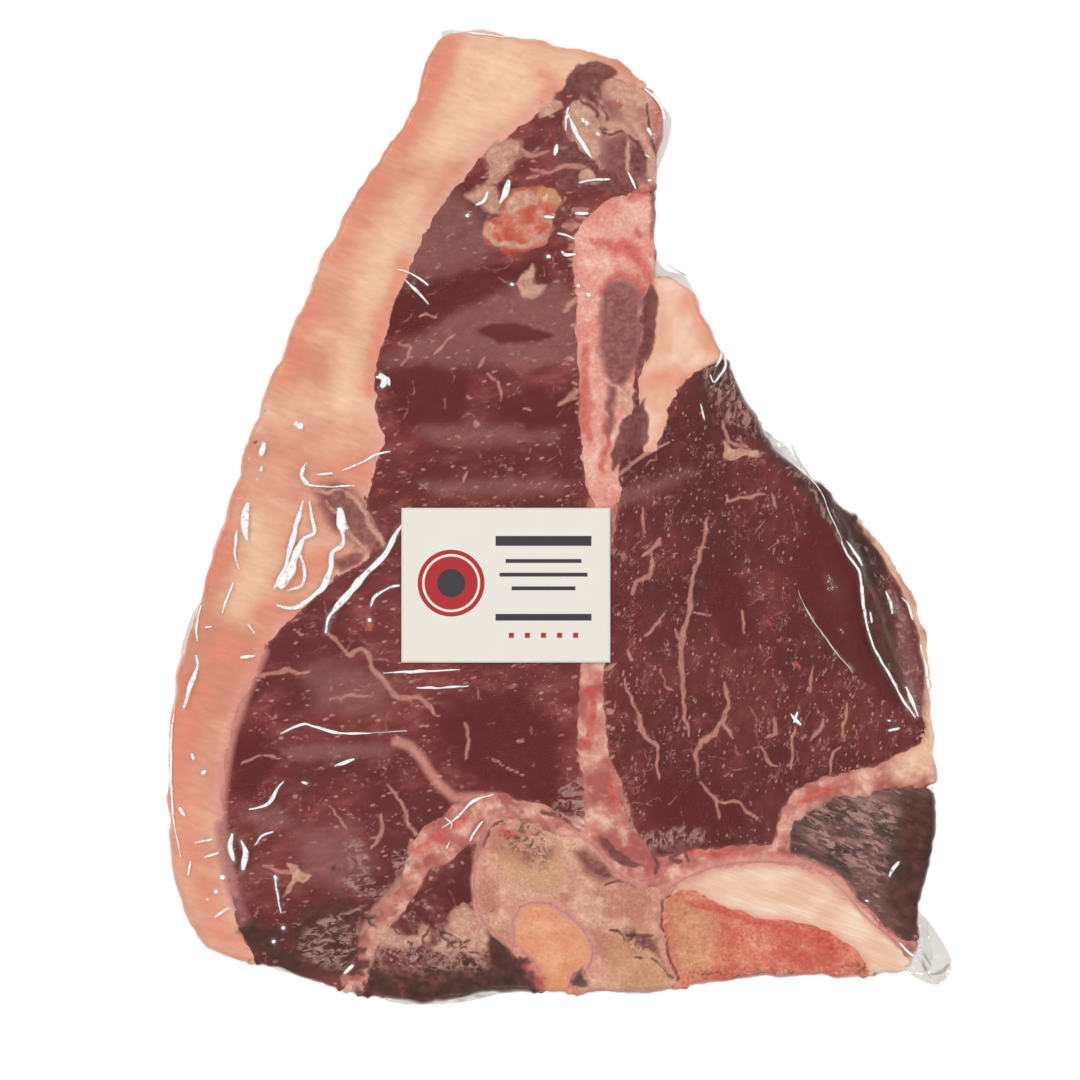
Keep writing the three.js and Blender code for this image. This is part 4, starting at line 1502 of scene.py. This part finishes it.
# Raised and sunken forms of the cut face.
RELIEFS = (
    Relief(1.3, 2.6, (606, 84, 618, 112, 636, 128, 646, 150, 650, 176)),
    Relief(0.9, 3.2, (610, 100, 630, 100, 648, 112)),
    Relief(0.9, 2.2, (576, 108, 588, 120, 598, 134)),
    Relief(0.8, 2.4, (496, 150, 510, 160)),
    Relief(0.7, 1.8, (480, 184, 492, 186)),
    Relief(1.0, 3.6, (500, 226, 524, 236, 546, 222, 552, 198)),
    Relief(0.6, 2.0, (530, 276, 534, 292)),
    Relief(-1.2, 2.4, (639, 152, 640, 164)),
    Relief(-0.8, 2.6, (584, 80, 592, 90)),
    Relief(-0.7, 2.8, (326, 500, 342, 516, 356, 528)),
    Relief(0.5, 2.4, (340, 500, 356, 506)),
    Relief(0.9, 1.8, FLANK_RIM),
    Relief(-0.8, 4.0, (830, 560, 846, 600, 862, 660)),
    Relief(0.5, 2.6, (427, 846, 462, 822, 500, 802, 540, 806)),
    Relief(0.6, 3.0, (800, 804, 850, 786, 900, 758)),
    Relief(-0.4, 1.6, (663, 923, 667, 948)),
    Relief(0.5, 1.4, (515, 945, 514, 920, 531, 901, 567, 912, 592, 943, 586, 970)),
    Relief(0.4, 1.2, (660, 892, 712, 866, 801, 863, 847, 895, 898, 944)),
    Relief(-0.35, 0.7, (335, 869)),
)

# Free flaps of the film round the meat, in photo pixels.
EARS = (
    (439, 23, 454, 22, 486, 26, 504, 35, 499, 53, 447, 53),
    (656, 92, 673, 112, 671, 134, 664, 154, 655, 170, 643, 154, 643, 104),
    (653, 244, 667, 265, 688, 273, 702, 304, 710, 329, 687, 317, 659, 281),
    (737, 380, 760, 424, 791, 446, 810, 480, 787, 481, 747, 425),
    (920, 912, 937, 930, 956, 962, 954, 981, 937, 991, 900, 971, 887, 953, 903, 925),
    (328, 989, 378, 1004, 394, 1010, 451, 1010, 498, 1001, 543, 994, 539, 977, 339, 977),
    (201, 947, 212, 958, 251, 967, 279, 978, 318, 984, 299, 957, 247, 933, 211, 933),
    (209, 576, 182, 629, 169, 694, 166, 753, 167, 817, 183, 817, 187, 705, 211, 605),
)

# The cut face as the CAD has it, in millimetres: level, broad swells and the thin tail.
FACE_LEVEL = 30.0
CAD_SHIFT = (0.686, 0.866)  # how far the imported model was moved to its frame
SWELLS = (  # middle, radius and rise
    ((-22, -42), 34, 1.3), ((-18, 40), 26, 0.8), ((44, -38), 30, 1.6), ((-68, 5), 20, 0.9),
    ((76, -84), 16, -1.8), ((-66, -98), 18, -2.6), ((12, 96), 14, 1.5), ((22, 40), 9, -1.2),
    ((-2, -100), 20, 0.7),
)
TAIL_FROM, TAIL_TO, TAIL_DROP = 55, 122, 6  # where the tail starts to sink and ends, and how far

SAME_POINT = 0.001  # millimetres within which two points are merged
SMOOTHING = 0.5  # how far a point moves to its neighbours' middle in each round
LOOK_FROM = 60  # millimetres above the table, from where heights are read


def face_height(xy: np.ndarray) -> np.ndarray:
    """Height of the cut face, without the tenderloin's flank.

    Args:
        xy: Places in the frame, one row each.

    Returns:
        The heights in metres.
    """
    x = xy[:, 0] / MM - CAD_SHIFT[0]
    y = xy[:, 1] / MM - CAD_SHIFT[1]
    z = np.full(len(xy), FACE_LEVEL)
    for (cx, cy), radius, rise in SWELLS:
        z += rise * np.exp(-((x - cx) ** 2 + (y - cy) ** 2) / radius ** 2)
    z -= TAIL_DROP * smoothstep(y, TAIL_FROM, TAIL_TO)
    return z * MM


def coords(mesh: Mesh, what: str = "co") -> np.ndarray:
    """A vector of each of the mesh's points.

    Args:
        mesh: The mesh.
        what: The vector's name, the place or the normal.

    Returns:
        One row for each point.
    """
    out = np.empty(len(mesh.vertices) * 3)
    mesh.vertices.foreach_get(what, out)
    return out.reshape(-1, 3)


def normals(mesh: Mesh) -> np.ndarray:
    """The mesh's point normals, one row each."""
    return coords(mesh, "normal")


def set_coords(mesh: Mesh, co: np.ndarray) -> None:
    """Moves the mesh's points."""
    mesh.vertices.foreach_set("co", co.ravel())
    mesh.update()


def store(mesh: Mesh, name: str, values: np.ndarray) -> None:
    """Keeps one number for each point on the mesh."""
    layer = mesh.attributes.new(name, "FLOAT", "POINT")
    layer.data.foreach_set("value", values.astype(np.float32))


def stored(mesh: Mesh, name: str) -> np.ndarray:
    """The number kept for each point.

    Args:
        mesh: The mesh.
        name: The number's name.

    Returns:
        One number for each point.
    """
    out = np.empty(len(mesh.vertices), np.float32)
    mesh.attributes[name].data.foreach_get("value", out)
    return out.astype(float)


def refine(mesh: Mesh, name: str, least: float) -> None:
    """Splits each face in four where a stored number is high.

    Args:
        mesh: The mesh, changed in place.
        name: The stored number's name.
        least: What it has to be at all of a face's points.
    """
    bm = bmesh.new()
    bm.from_mesh(mesh)
    layer = bm.verts.layers.float[name]
    chosen = [f for f in bm.faces if all(v[layer] > least for v in f.verts)]
    edges = sorted({e for f in chosen for e in f.edges}, key=lambda e: e.index)
    bmesh.ops.subdivide_edges(bm, edges=edges, cuts=1, use_grid_fill=True)
    bm.to_mesh(mesh)
    bm.free()


def remeshed(source: Mesh, name: str, voxel: float) -> Object:
    """A copy of a mesh, merged and remeshed to even small faces.

    Args:
        source: The mesh to copy.
        name: Name of the new object.
        voxel: Size of its faces, in millimetres.

    Returns:
        The new object, at the origin.
    """
    bm = bmesh.new()
    bm.from_mesh(source)
    bmesh.ops.remove_doubles(bm, verts=bm.verts, dist=SAME_POINT * MM)
    mesh = made(bm, name)
    piece = added(name, mesh)
    remesh = piece.modifiers.new("even", "REMESH")
    remesh.mode = "VOXEL"
    remesh.voxel_size = voxel * MM
    evaluated = piece.evaluated_get(bpy.context.evaluated_depsgraph_get())
    fine = bpy.data.meshes.new_from_object(evaluated)
    piece.modifiers.clear()
    piece.data = fine
    fine.name = name
    bpy.data.meshes.remove(mesh)
    return piece


def relax(mesh: Mesh, rounds: int) -> None:
    """Evens the mesh's points out, in place.

    Args:
        mesh: The mesh.
        rounds: How many times.
    """
    bm = bmesh.new()
    bm.from_mesh(mesh)
    for _ in range(rounds):
        bmesh.ops.smooth_vert(bm, verts=bm.verts, factor=SMOOTHING, use_axis_x=True,
                              use_axis_y=True, use_axis_z=True)
    bm.to_mesh(mesh)
    bm.free()


def added(name: str, data: ID) -> Object:
    """A new object in the scene, at the origin.

    Args:
        name: Its name.
        data: Its mesh, curve, lamp or camera.

    Returns:
        The object.
    """
    piece = bpy.data.objects.new(name, data)
    bpy.context.scene.collection.objects.link(piece)
    return piece


def made(bm: bmesh.types.BMesh, name: str) -> Mesh:
    """A mesh out of a finished bmesh, which is then let go.

    Args:
        bm: The bmesh.
        name: The mesh's name.

    Returns:
        The mesh.
    """
    mesh = bpy.data.meshes.new(name)
    bm.to_mesh(mesh)
    bm.free()
    return mesh


def drop(tree: BVHTree, x: float, y: float) -> float | None:
    """Height of a surface under a place, in metres, or None where there is no surface."""
    hit = tree.ray_cast(Vector((x, y, LOOK_FROM * MM)), Vector((0, 0, -1)))
    return None if hit[0] is None else hit[0].z


def finish_piece(piece: Object, material: Material, slot: str,
                 *nodes: str) -> Object:
    """Dresses a piece, lets it ride, and hides the CAD nodes that it stands for.

    Args:
        piece: The piece.
        material: Its finish.
        slot: Not used.
        *nodes: The CAD nodes that it replaces.

    Returns:
        The piece.
    """
    piece.data.materials.clear()
    piece.data.materials.append(material)
    piece.data.polygons.foreach_set("use_smooth", np.ones(len(piece.data.polygons), bool))
    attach(piece, BODY)
    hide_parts(*nodes)
    log.info("%s: %d faces", piece.name, len(piece.data.polygons))
    return piece


Waves = tuple[tuple[float, float], ...]  # height and size of each, in millimetres
FIRST_SEED = 40  # of the tissues' own roughness


@dataclass
class Meat:
    """The steak's tissues, each remeshed from its solid and given its skin of detail, in millimetres."""

    voxel: float = 0.8
    coarse: dict[str, float] = field(default_factory=lambda: {
        "striploin": 0.98, "fat_cap": 1.1, "seam_fat": 0.9, "tenderloin": 0.85,
    })
    swell: float = 0.4
    overlap: float = 0.55
    edge_reach: float = 1.8
    lumps: Waves = ((0.35, 14.0), (0.14, 5.0), (0.05, 2.2))
    side_lump: tuple[float, float] = (0.5, 6.0)
    outline_drift: Waves = ((0.7, 5.0), (0.25, 1.7))
    stroke_drift: Waves = ((0.5, 3.1), (0.35, 1.4))
    lift: float = 0.35
    ragged: float = 0.07
    ragged_size: float = 1.3
    hard_share: float = 0.3
    dip: float = 0.3
    on_walls: float = 0.2
    pieces: list[Object] = field(default_factory=list)
    trees: dict[str, BVHTree] = field(default_factory=dict)
    lump: SoftNoise = field(default_factory=lambda: SoftNoise(3))
    drift: tuple[SoftNoise, SoftNoise] = field(default_factory=lambda: (SoftNoise(5), SoftNoise(8)))

    FATS = ("fat_cap", "kidney_fat", "fat_lump", "seam_fat", "disc_cartilage")
    BONES = ("vertebra_arch", "joint_process", "vertebra_body", "finger_bone")
    REACH = 5.0  # how far off a neighbour still counts
    FACE_UP, FACE_DEPTH = (0.7, 0.95), (-2.5, -1.2)  # the cut face's lean, and its depth under the level
    EDGE_UP, EDGE_DEPTH = 0.25, -1.8  # the same for a cut edge that is squared
    WALL_LEAN = (0.05, 0.4)
    SLOPE_UP, SLOPE_LEVEL = (0.35, 0.6), (14, 18)  # what of the flank is finished like the cut face

    def build(self) -> None:
        """Makes every tissue."""
        self.trees = {name: self._tree(name) for name in FINISHES}
        for number, (node, (slot, finish)) in enumerate(FINISHES.items()):
            voxel = self.coarse.get(node, self.voxel)
            piece = remeshed(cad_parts[node].data, node + "_cut", voxel)
            self._level(piece.data, node)
            refine(piece.data, "top", 0.5)
            hard = node in self.BONES or node == "disc_cartilage"
            ragged = self.ragged * (self.hard_share if hard else 1)
            self._shape(piece.data, SoftNoise(FIRST_SEED + number), ragged)
            layers = self._paint(piece.data, node)
            self.pieces.append(finish_piece(piece, finish.build(layers), slot, node))

    def _tree(self, node: str) -> BVHTree:
        """Search tree of a CAD node's mesh."""
        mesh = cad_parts[node].data
        return BVHTree.FromPolygons(
            [tuple(v.co) for v in mesh.vertices], [tuple(p.vertices) for p in mesh.polygons],
        )

    def _nearest(self, co: np.ndarray, names: list[str]) -> np.ndarray:
        """Distance of many places from the nearest of some nodes.

        Args:
            co: The places, one row each.
            names: The nodes.

        Returns:
            The distances in millimetres, none above the reach.
        """
        reach = self.REACH * MM
        out = np.full(len(co), self.REACH)
        for name in names:
            find = self.trees[name].find_nearest
            low, high = (np.array(corner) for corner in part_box(name))
            near = np.all((co > low - reach) & (co < high + reach), axis=1)
            for index in np.flatnonzero(near):
                hit = find(co[index], reach)
                if hit[3] is not None:
                    out[index] = min(out[index], hit[3] / MM)
        return out

    def _level(self, mesh: Mesh, node: str) -> None:
        """Evens a tissue out, squares its cut edges and stores how near its neighbours are.

        Args:
            mesh: The tissue's mesh, changed in place.
            node: Its CAD node.
        """
        relax(mesh, 2)
        co, out = coords(mesh), normals(mesh)
        others = [name for name in FINISHES if name != node]
        border = self._nearest(co, others)
        face = face_height(co[:, :2])
        flank = (co[:, 2] - face) / MM
        top = smoothstep(out[:, 2], *self.FACE_UP) * smoothstep(flank, *self.FACE_DEPTH)
        edge = (border < self.edge_reach) & (out[:, 2] > self.EDGE_UP) & (flank > self.EDGE_DEPTH)
        top = np.maximum(top, edge)
        co += out * (self.swell * MM)
        level = out[:, :2] / np.maximum(np.hypot(out[:, 0], out[:, 1]), 1e-6)[:, None]
        wall = (border < self.edge_reach) * smoothstep(1 - out[:, 2], *self.WALL_LEAN)
        co[:, :2] += level * (wall * self.overlap * MM)[:, None]
        face = face_height(co[:, :2]) + (self.swell - self.dip * (1 - border).clip(0, 1)) * MM
        co[:, 2] += top * (face - co[:, 2])
        if node in self.FATS or node in self.BONES:
            near = [n for n in FINISHES if n not in self.FATS and n != node]
        else:
            near = [n for n in FINISHES if n in self.FATS or n in self.BONES]
        store(mesh, "rim", self._nearest(co, near))
        sloped = smoothstep(out[:, 2], *self.SLOPE_UP) * smoothstep(co[:, 2] / MM, *self.SLOPE_LEVEL)
        store(mesh, "top", np.maximum(top, sloped))
        set_coords(mesh, co)

    def _shape(self, mesh: Mesh, own: SoftNoise, ragged: float) -> None:
        """Roughens a tissue and gives it its forms.

        Args:
            mesh: The tissue's mesh, changed in place.
            own: The tissue's own noise.
            ragged: How high its finest roughness is, in millimetres.
        """
        co, out = coords(mesh), normals(mesh)
        top = stored(mesh, "top")
        flat = co * (1, 1, 0)
        lumps = sum(rise * self.lump(flat, size * MM) for rise, size in self.lumps)
        co[:, 2] += top * MM * (lumps + ragged * own(flat, self.ragged_size * MM))
        for relief in RELIEFS:
            co[:, 2] += top * relief.amount(co[:, :2])
        side, (rise, size) = 1 - np.abs(out[:, 2]), self.side_lump
        co += out * (side * rise * MM * self.lump(co, size * MM))[:, None]
        co[:, :2] += self._wander(flat, self.outline_drift)
        height = co[:, 2].clip(0, None)
        co[:, 2] = self.lift * MM + height * (1 - self.lift / FACE_LEVEL)
        set_coords(mesh, co)

    def _wander(self, flat: np.ndarray, waves: Waves) -> np.ndarray:
        """Sideways drift of many places.

        Args:
            flat: The places, at height 0.
            waves: The wide drift and the fine one.

        Returns:
            One row of x and y for each place, in metres.
        """
        (wide, wide_size), (fine, fine_size) = waves
        return MM * np.column_stack([
            wide * self.drift[axis](flat, wide_size * MM) + fine * self.drift[1 - axis](flat, fine_size * MM)
            for axis in (0, 1)
        ])

    def _paint(self, mesh: Mesh, node: str) -> list[Layer]:
        """Lays the listed strokes on a tissue.

        Args:
            mesh: The tissue's mesh, changed in place.
            node: Its CAD node.

        Returns:
            The layers that it then has.
        """
        co = coords(mesh)
        xy = co[:, :2] + self._wander(co * (1, 1, 0), self.stroke_drift)
        skips = FAT_SKIPS if node in self.FATS else BONE_SKIPS if node in self.BONES else LEAN_SKIPS
        used = []
        for layer, strokes in STROKES.items():
            if layer in skips:
                continue
            amount = np.zeros(len(co))
            where = co[:, :2] if layer in (Layer.GRISTLE, Layer.VEIN) else xy
            for stroke in strokes:
                amount = np.maximum(amount, stroke.amount(where, LOOKS[layer].taper))
            if layer not in THROUGH:
                amount *= self.on_walls + (1 - self.on_walls) * stored(mesh, "top")
            if amount.max() > 0:
                store(mesh, layer.value, amount)
                used.append(layer)
        return used


@dataclass
class Film:
    """The shrunk film: a closed skin over all the meat, pinched folds, and free ears, in millimetres."""

    meat: Meat
    voxel: float = 1.5
    clear: float = 0.25
    look: float = 3.0
    rounds: int = 5
    lump: tuple[float, float] = (0.12, 6.0)
    ground: float = 0.02
    ear_level: float = 11.3
    ear_wall: float = 0.5
    ear_voxel: float = 0.5
    ear_thin: float = 0.35
    ear_waves: Waves = ((1.5, 9.0), (0.9, 7.0), (0.35, 2.5))
    fold_step: float = 0.4
    fold_flat: float = 0.2
    fold_lift: float = 0.1
    jitter: tuple[float, float] = (0.16, 2.2)
    uneven: Waves = ((0.6, 2.7), (0.5, 9.0))
    ridge_width: float = 1.3
    ridge_rise: float = 0.5
    full_ridge: float = 0.5
    seed: SoftNoise = field(default_factory=lambda: SoftNoise(21))
    tree: BVHTree | None = None

    UPWARDS = (0.2, 0.6)  # the normal's z, from the sides to the top
    # The ridges' and pleats' milky whitening also paints highlights along them.
    RIDGE_LEAST, RIDGE_MILK = 0.6, 0.5  # added to a fold's half width; how milky its ridge is
    PLEAT_LINE, PLEAT_MILK = (0.75, 0.97), 0.7
    TIP, BELLY, BROAD = 0.25, 0.75, 1.25  # a fold's width at its ends, towards its middle, and over all
    SHORT = 0.02  # share of a fold's length at each end that stays blunt

    def build(self) -> None:
        """Makes the skin, its ears and its folds."""
        self._skin()
        self._ears()
        self._folds()

    def _skin(self) -> None:
        """Wraps the meat."""
        bm = bmesh.new()
        for piece in self.meat.pieces:
            bm.from_mesh(piece.data)
        joined = made(bm, "film_source")
        film = remeshed(joined, "film", self.voxel)
        bpy.data.meshes.remove(joined)
        tree = self._meat_tree()
        mesh = film.data
        relax(mesh, self.rounds)
        self._push_out(mesh, tree)
        relax(mesh, 1)
        store(mesh, "top", smoothstep(normals(mesh)[:, 2], *self.UPWARDS))
        refine(mesh, "top", 0.5)
        relax(mesh, 1)
        self._push_out(mesh, tree)
        co, out = coords(mesh), normals(mesh)
        top = stored(mesh, "top")
        ridge = np.zeros(len(co))
        for fold in GLINT_FOLDS:
            reach = self.ridge_width * (self.RIDGE_LEAST + fold.half)
            rise = min(1.0, fold.half / self.full_ridge)
            ridge = np.maximum(ridge, Relief(rise, reach, fold.points).amount(co[:, :2]) / MM)
        ridge *= top
        # Whitens the film along each fold: the fold's milkiness, and a painted highlight where the film
        # glints.
        store(mesh, "crease_glint", ridge ** 2 * self.RIDGE_MILK)
        rise, size = self.lump
        lumps = rise * self.seed(co, size * MM) + rise + self.ridge_rise * ridge
        co += out * (top * MM * lumps)[:, None]
        co[:, 2] = co[:, 2].clip(self.ground * MM, None)
        set_coords(mesh, co)
        self.tree = BVHTree.FromPolygons([tuple(v) for v in co], [tuple(p.vertices) for p in mesh.polygons])
        finish_piece(film, FilmFinish().build(), "film", "bag")

    def _meat_tree(self) -> BVHTree:
        """Search tree of all the meat.

        Returns:
            The tree.
        """
        verts: list[tuple] = []
        faces: list[tuple] = []
        for piece in self.meat.pieces:
            start = len(verts)
            verts.extend(map(tuple, coords(piece.data)))
            faces.extend(tuple(i + start for i in p.vertices) for p in piece.data.polygons)
        return BVHTree.FromPolygons(verts, faces)

    def _push_out(self, mesh: Mesh, tree: BVHTree) -> None:
        """Moves each point until it is clear of the meat.

        Args:
            mesh: The film's mesh, changed in place.
            tree: The meat's search tree.
        """
        co = coords(mesh)
        least, look = self.clear * MM, self.look * MM
        for index, (point, normal) in enumerate(zip(co, normals(mesh))):
            start = Vector(point) + Vector(normal) * look
            hit = tree.ray_cast(start, -Vector(normal), 2 * look)
            if hit[0] is None:
                continue
            gap = look - hit[3]
            if gap > -least:
                co[index] += normal * (gap + least)
        set_coords(mesh, co)

    def _ears(self) -> None:
        """Makes the flat flaps of spare film round the meat."""
        bm = bmesh.new()
        for ear in EARS:
            ring = flowing((*ear, *ear[:2]), 1.0)[:-1]
            corners = [bm.verts.new((x, y, self.ear_level * MM)) for x, y in ring]
            face = bm.faces.new(corners)
            grown = bmesh.ops.extrude_face_region(bm, geom=[face])
            raised = [v for v in grown["geom"] if isinstance(v, bmesh.types.BMVert)]
            bmesh.ops.translate(bm, verts=raised, vec=(0, 0, self.ear_wall * 2 * MM))
        bmesh.ops.recalc_face_normals(bm, faces=bm.faces)
        source = made(bm, "ear_source")
        ears = remeshed(source, "film_ears", self.ear_voxel)
        bpy.data.meshes.remove(source)
        relax(ears.data, 2)
        co = coords(ears.data)
        flat = co * (1, 1, 0)
        middle = (self.ear_level + self.ear_wall) * MM
        co[:, 2] = middle + (co[:, 2] - middle) * self.ear_thin
        (wave, wave_size), (rise, size), (fine, fine_size) = self.ear_waves
        pleat = 1 - np.abs(self.seed(flat, size * MM)) * 2
        waves = wave * self.seed(flat, wave_size * MM) + rise * pleat
        co[:, 2] += MM * (waves + fine * self.seed(flat, fine_size * MM))
        set_coords(ears.data, co)
        # Milky pleat lines, which also paint the spare film's highlights.
        store(ears.data, "crease_glint", smoothstep(pleat, *self.PLEAT_LINE) * self.PLEAT_MILK)
        spare = FilmFinish("spare_film", through=(0.82, 0.81, 0.78), haze=0.1, ripple=1.2)
        finish_piece(ears, spare.build(), "film", "bag")

    def _profile(self) -> Object:
        """A fold's flat lens-shaped section, a millimetre in half width.

        Returns:
            The section's curve object.
        """
        data = bpy.data.curves.new("fold_section", "CURVE")
        spline = data.splines.new("POLY")
        turns = np.arange(8) * math.pi / 4
        spline.points.add(len(turns) - 1)
        for point, turn in zip(spline.points, turns):
            point.co = (MM * math.cos(turn), self.fold_flat * MM * math.sin(turn), 0, 1)
        spline.use_cyclic_u = True
        return added("fold_section", data)

    def _folds(self) -> None:
        """Lays the pinched folds on the skin, thin at their ends and uneven along their length; their white
        paints the highlights along the film's folds.
        """
        data = bpy.data.curves.new("fold_lines", "CURVE")
        data.dimensions = "3D"
        data.bevel_mode = "OBJECT"
        data.bevel_object = self._profile()
        data.twist_mode = "Z_UP"
        data.use_fill_caps = True
        for fold in GLINT_FOLDS:
            line = flowing(fold.points, self.fold_step)
            co = np.column_stack((line, np.zeros(len(line))))
            shift, size = self.jitter
            co[:, 0] += shift * MM * self.seed(co, size * MM)
            co[:, 1] += shift * MM * self.seed(co + 0.4, size * MM)
            along = np.linspace(0, 1, len(co)).clip(self.SHORT, 1 - self.SHORT)
            width = self.TIP + self.BELLY * np.sqrt(np.sin(math.pi * along))
            wavy = sum(rise * self.seed(co, size * MM) for rise, size in self.uneven)
            width *= fold.half * (self.BROAD + wavy)
            spline = data.splines.new("POLY")
            spline.points.add(len(co) - 1)
            for point, (x, y, _), radius in zip(spline.points, co, width):
                level = drop(self.tree, x, y)
                level = self.ear_level * MM if level is None else level
                point.co = (x, y, level + self.fold_lift * radius * MM, 1)
                point.radius = radius
        source = added("fold_lines", data)
        evaluated = source.evaluated_get(bpy.context.evaluated_depsgraph_get())
        mesh = bpy.data.meshes.new_from_object(evaluated)
        bpy.data.objects.remove(source)
        bpy.data.objects.remove(data.bevel_object)
        # The folds' white ribbons are painted highlights.
        finish_piece(added("film_folds_painted_glints", mesh), PaintedGlintFoldFinish().build(), "film", "bag")


@dataclass
class Label:
    """The plain paper label, lying on the film; its corner in photo pixels, the rest in millimetres."""

    film: Film
    corner: tuple[float, float] = (402.0, 508.0)
    size: tuple[float, float] = (52.0, 38.5)
    stiff: int = 12
    pitch: float = 0.8
    above: float = 0.18
    thick: float = 0.12

    def build(self) -> Object:
        """Makes the label.

        Returns:
            The label's object.
        """
        start = place(self.corner)[0]
        width, height = (s * MM for s in self.size)
        bm = bmesh.new()
        bmesh.ops.create_grid(bm, x_segments=int(self.size[0] / self.pitch),
                              y_segments=int(self.size[1] / self.pitch), size=0.5)
        for v in bm.verts:
            v.co.x = start[0] + (v.co.x + 0.5) * width
            v.co.y = start[1] - (0.5 - v.co.y) * height
            v.co.z = drop(self.film.tree, v.co.x, v.co.y)
        highest = {v: v.co.z for v in bm.verts}
        for _ in range(self.stiff):
            bmesh.ops.smooth_vert(bm, verts=bm.verts, factor=0.5, use_axis_z=True)
            for v, z in highest.items():
                v.co.z = max(v.co.z, z)
        for v in bm.verts:
            v.co.z += self.above * MM
        bmesh.ops.solidify(bm, geom=bm.faces[:], thickness=-self.thick * MM)
        bmesh.ops.recalc_face_normals(bm, faces=bm.faces)
        piece = added("paper_label", made(bm, "paper_label"))
        return finish_piece(piece, LabelFinish().build(), "label_paper", "label")


@dataclass
class Studio:
    """White table, soft lights and the camera straight above, in metres and watts."""

    distance: float = 1.1
    sensor: float = 36.0
    face: float = 0.027
    table: float = 3.0
    table_gap: float = 0.0003
    lamps: tuple[tuple[str, tuple[float, float, float], tuple[float, float], float], ...] = (
        ("key_left", (-0.62, 0.5, 0.75), (0.4, 0.08), 2.4),
        ("key_right", (0.66, 0.34, 0.7), (0.08, 0.4), 1.6),
        ("front_strip", (0.1, -0.75, 0.65), (0.4, 0.06), 1.2),
    )
    sky: dict[str, float] = field(default_factory=lambda: {
        "From Min": 0.0, "From Max": 0.7, "To Min": 0.26, "To Max": 0.8,
    })

    def build(self) -> None:
        """Makes the table, the lights and the camera."""
        self._table()
        self._camera()
        scene = bpy.context.scene
        scene.view_settings.view_transform = "Standard"
        world = bpy.data.worlds.new("studio")
        world.use_nodes = True
        self._sky(world.node_tree)
        scene.world = world
        for lamp in self.lamps:
            self._softbox(*lamp)

    def _sky(self, tree: NodeTree) -> None:
        """Soft light all round, darker towards the horizon.

        Args:
            tree: The world's nodes.
        """
        where = tree.nodes.new("ShaderNodeTexCoord")
        parts = tree.nodes.new("ShaderNodeSeparateXYZ")
        level = tree.nodes.new("ShaderNodeMapRange")
        tree.nodes["Background"].inputs["Color"].default_value = (1, 1, 1, 1)
        for name, value in self.sky.items():
            level.inputs[name].default_value = value
        tree.links.new(where.outputs["Generated"], parts.inputs[0])
        tree.links.new(parts.outputs["Z"], level.inputs["Value"])
        tree.links.new(level.outputs["Result"], tree.nodes["Background"].inputs["Strength"])

    def _table(self) -> None:
        """A wide level plane just under the steak."""
        bm = bmesh.new()
        bmesh.ops.create_grid(bm, x_segments=2, y_segments=2, size=self.table)
        bmesh.ops.translate(bm, verts=bm.verts, vec=(0, 0, -self.table_gap))
        table = added("table", made(bm, "table"))
        table.data.materials.append(FloorFinish().build())

    def _camera(self) -> None:
        """Looks straight down on the middle of the photo's frame."""
        x, y = place(PHOTO_CENTRE)[0]
        data = bpy.data.cameras.new("camera")
        data.sensor_width = self.sensor
        data.lens = self.sensor * (self.distance - self.face) / (PHOTO_WIDTH * PHOTO_PIXEL)
        camera = added("camera", data)
        camera.location = (x, y, self.distance)
        bpy.context.scene.camera = camera

    def _softbox(self, name: str, where: tuple[float, float, float], size: tuple[float, float],
                 watts: float) -> None:
        """A flat soft lamp aimed at the steak.

        Args:
            name: Its name.
            where: Its place, in metres.
            size: Its width and height, in metres.
            watts: Its power.
        """
        data = bpy.data.lights.new(name, "AREA")
        data.shape = "RECTANGLE"
        data.size, data.size_y = size
        data.energy = watts
        lamp = added(name, data)
        lamp.location = where
        lamp.rotation_euler = (-Vector(where)).to_track_quat("-Z", "Y").to_euler()


def main() -> None:
    """Builds the pack and the studio round it."""
    logging.basicConfig(level=logging.INFO, format="%(name)s: %(message)s")
    Studio().build()
    meat = Meat()
    meat.build()
    film = Film(meat)
    film.build()
    Label(film).build()


if __name__ == "__main__":
    main()
